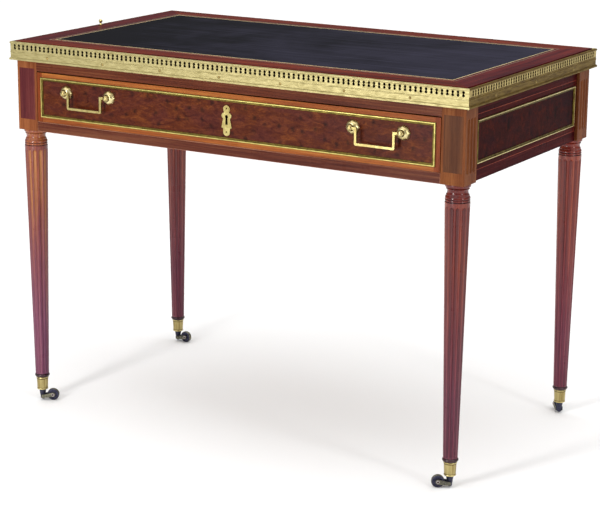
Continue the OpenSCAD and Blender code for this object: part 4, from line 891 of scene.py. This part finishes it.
knob = closed_tubes("knob", [turned(knob_outline, 32) + upright("lifting_knob")])
place("lifting.knob", knob, [brass], "top_panel", "lifting_knob")


def hide(name, dark, light):
    """Old leather: streaks along the table and a fine pebbled grain. Lighter patches come from a noise,
    and the whole hide grows lighter towards the right."""
    material, tree, shader, point = paint(name)
    streaks = noise(tree, point, (5.0, 120.0, 30.0), 5.0)
    rubbed = noise(tree, point, (6.0, 6.0, 6.0), 3.0, 4.0)
    tone = weighted(tree, streaks, 0.5, rubbed)
    # The tone grows lighter towards +X.
    tone = maths(tree, "ADD", tone, ranged(tree, axes(tree, point)["X"], -0.44, 0.44, -0.21, 0.14))
    colour = coloured(tree, tone, (0.34, 0.72), (dark, light))
    pebbles = tree.nodes.new("ShaderNodeTexVoronoi")
    pebbles.inputs["Scale"].default_value = 900.0
    tree.links.new(point, pebbles.inputs["Vector"])
    roughness = ranged(tree, tone, 0.36, 0.66, 0.62, 0.5)
    surface(tree, shader, colour, roughness, pebbles.outputs["Distance"], 0.2, 0.0003)
    shader.inputs["Specular IOR Level"].default_value = 0.05
    return material


finish(hide("black leather", (7, 6, 18), (44, 42, 58)), "leather")


# Drawer
# An oak box, dovetailed at the corners with its bottom in grooves, behind a mahogany front. The front
# has burr veneer inside a mitred brass moulding, and a banding outside it.
drawer_veneer = burr("drawer veneer", (58, 24, 14), (78, 36, 18), (108, 58, 26),
                     ((52, 20, 21), (84, 40, 32)), grain=(0.6, 1.0, 1.5), seed=21.0)
banding_z = wood("upright banding", (98, 44, 22), (120, 58, 28), (142, 76, 36), grain="Z", seed=22.0)
moulding_low, moulding_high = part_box("drawer_moulding")
under_moulding, keyhole_reach = 0.003, 0.01
veneer_edge = moulding_high.x - under_moulding
veneer_low, veneer_high = moulding_low.z + under_moulding, moulding_high.z - under_moulding
upright_cuts = [((sign * veneer_edge, 0, 0), (1, 0, 0)) for sign in (-1, 1)]
front = softened("drawer_front", [banding_x, banding_z, drawer_veneer, shaded_edge],
                 size=0.0003, cuts=upright_cuts + level_cuts(veneer_low, veneer_high))
middle, direction = faces_of(front.data)
on_face = direction[:, 1] < -0.9
end_band = on_face & (np.abs(middle[:, 0]) > veneer_edge)
inside = on_face & (np.abs(middle[:, 0]) < veneer_edge) & between(middle[:, 2], veneer_low, veneer_high)
# Painted shade: the sides of the keyhole take the near-black edge wood.
keyhole = (np.abs(direction[:, 1]) < 0.5) & (np.abs(middle[:, 0]) < keyhole_reach)
keyhole &= between(middle[:, 2], moulding_low.z, moulding_high.z)
give_materials(front.data, end_band + 2 * inside + 3 * keyhole)
for side in ("left", "right"):
    softened("drawer_side_" + side, [oak], size=0.0003)
softened("drawer_back", [oak_across])
softened("drawer_bottom", [oak_across])
drawer_face, drawer_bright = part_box("drawer_front")[0].y, (0.0005, 0.0027)
brass_frame("drawer_moulding", drawer_face, 0, -1, drawer_bright, [line_brass, shade_brass])


# Handles and lock
# Cast brass bosses with petals, held by nuts inside the drawer; square-bar bails that swing on pins
# between them; a pinned keyhole plate; and a brass lock with a steel bolt, screwed on inside.
petals = 8
boss_r = 0.0145
half_span = 0.0515


def boss_grid():
    """Boss as rows of points round its axis, from the drawer's face outwards to the top of the knob.
    Its plan is an eight-sided figure, the cosine of half a side over the cosine of the angle from that
    side's middle, which turns into a circle where the dome meets the knob."""
    angle = np.radians(np.arange(96) * 3.75)[None, :]
    half_side = math.pi / petals
    polygon = math.cos(half_side) / np.cos(angle % (2 * half_side) - half_side)
    share = np.array([1.0, 1.0, 0.98, 0.93, 0.84, 0.73, 0.62, 0.53, 0.48])[:, None]
    height = np.array([0.0, 0.0008, 0.0019, 0.0036, 0.0056, 0.0073, 0.0086, 0.0093, 0.0095])[:, None]
    round_share = np.clip((1 - share) / 0.5, 0, 1)
    dome = boss_r * share * (polygon * (1 - round_share) + round_share)
    knob = np.array([[0.0066, 0.0088], [0.0058, 0.0084], [0.0055, 0.0094], [0.006, 0.0102], [0.006, 0.0138],
                     [0.0055, 0.0149], [0.0042, 0.0161], [0.0022, 0.0168], [0.0006, 0.017]])
    radius = np.vstack([dome, knob[:, :1] + 0 * angle])
    height = np.vstack([height, knob[:, 1:]]) + 0 * angle
    return np.stack([radius * np.cos(angle), -height, radius * np.sin(angle)], -1)


low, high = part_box("handle_rosettes")
post_r, post_start, post_end = 0.0025, -0.001, -0.0249
post = turned([[post_r, post_start], [post_r, post_end]], 24)[..., [0, 2, 1]] * [1, -1, 1]
bosses, spots = [], []
for bail in ("bail_left", "bail_right"):
    for side in (-1, 1):
        spot = np.array([upright(bail)[0] + side * half_span, drawer_face, (low.z + high.z) / 2])
        bosses += [boss_grid() + spot, post + spot]
        spots.append(spot)
rosettes = closed_tubes("rosettes", bosses)
middle = faces_of(rosettes)[0]
from_axis = np.stack([np.hypot(middle[:, 0] - spot[0], middle[:, 2] - spot[2]) for spot in spots]).min(0)
out = drawer_face - middle[:, 1]
# Painted shade: the collar round the knob takes the dark groove brass.
collar = between(out, 0.0083, 0.0101) & (from_axis < 0.0067)
knob_top = out > 0.0152
give_materials(rosettes, np.where(collar, 2, knob_top))
boss_brass = metal("boss brass", (218, 204, 152), (182, 164, 108), 0.28, seed=4.0)
place("handle.rosettes", rosettes, [boss_brass, dull_shaded_brass, tarnish_and_shade], "drawer", "handle_rosettes")
finish(dull_shaded_brass, "handle_nuts")
finish(tarnish_and_shade, "lock_case")
pin_brass = metal("dark pin brass", (104, 92, 44), (66, 56, 28), 0.45)
finish(pin_brass, "escutcheon_pins")
plate_brass = metal("plate brass", (184, 170, 112), (148, 132, 82), 0.3, seed=5.0)
for side in ("left", "right"):
    softened("bail_" + side, [plate_brass], size=0.0008)
softened("escutcheon", [plate_brass], size=0.0004, name="escutcheon.plate")
finish(steel, "lock_bolt", "lock_screws")


# Floor and light
# A plain pale floor under soft light: a sky that is bright overhead and dimmer low down, a lamp in
# front of the drawer and a weaker one at the right.
floor_reach = 300.0
floor_mesh = bpy.data.meshes.new("floor")
floor_corners = [(x * floor_reach, y * floor_reach, 0) for x, y in ((-1, -1), (1, -1), (1, 1), (-1, 1))]
floor_mesh.from_pydata(floor_corners, [], [(0, 1, 2, 3)])
floor_paint = bpy.data.materials.new("floor paint")
floor_paint.use_nodes = True
floor_shader = floor_paint.node_tree.nodes["Principled BSDF"]
preset(floor_shader, {"Base Color": (0.9, 0.9, 0.9, 1), "Roughness": 0.9})
floor_mesh.materials.append(floor_paint)
added("floor", floor_mesh)
world = bpy.data.worlds.new("studio")
world.use_nodes = True
sky = world.node_tree
rise = axes(sky, sky.nodes.new("ShaderNodeTexCoord").outputs["Generated"])["Z"]
horizon_glow, zenith_glow = 0.08, 2.35
height_squared = maths(sky, "MULTIPLY", rise, rise)
glow = ranged(sky, height_squared, 0.0, 1.0, horizon_glow, zenith_glow)
sky.nodes["Background"].inputs["Color"].default_value = (1, 1, 1, 1)
sky.links.new(glow, sky.nodes["Background"].inputs["Strength"])
bpy.context.scene.world = world


def lamp(name, spot, target, width, height, watts):
    """Soft upright strip of light that faces a point."""
    light = bpy.data.lights.new(name, "AREA")
    light.shape = "RECTANGLE"
    light.size, light.size_y = width, height
    light.energy = watts
    holder = added(name, light)
    holder.location = spot
    away = np.array(spot) - np.array(target)
    holder.rotation_euler = (
        math.atan2(math.hypot(away[0], away[1]), away[2]), 0, math.atan2(away[0], -away[1]))


frieze_middle = (0, 0, 0.6)
lamp("key", (-0.45, -2.7, 1.1), frieze_middle, width=0.4, height=1.9, watts=46)
lamp("fill", (3.17, -0.98, 1.1), frieze_middle, width=0.4, height=1.3, watts=21)
bpy.context.scene.view_settings.view_transform = "Standard"
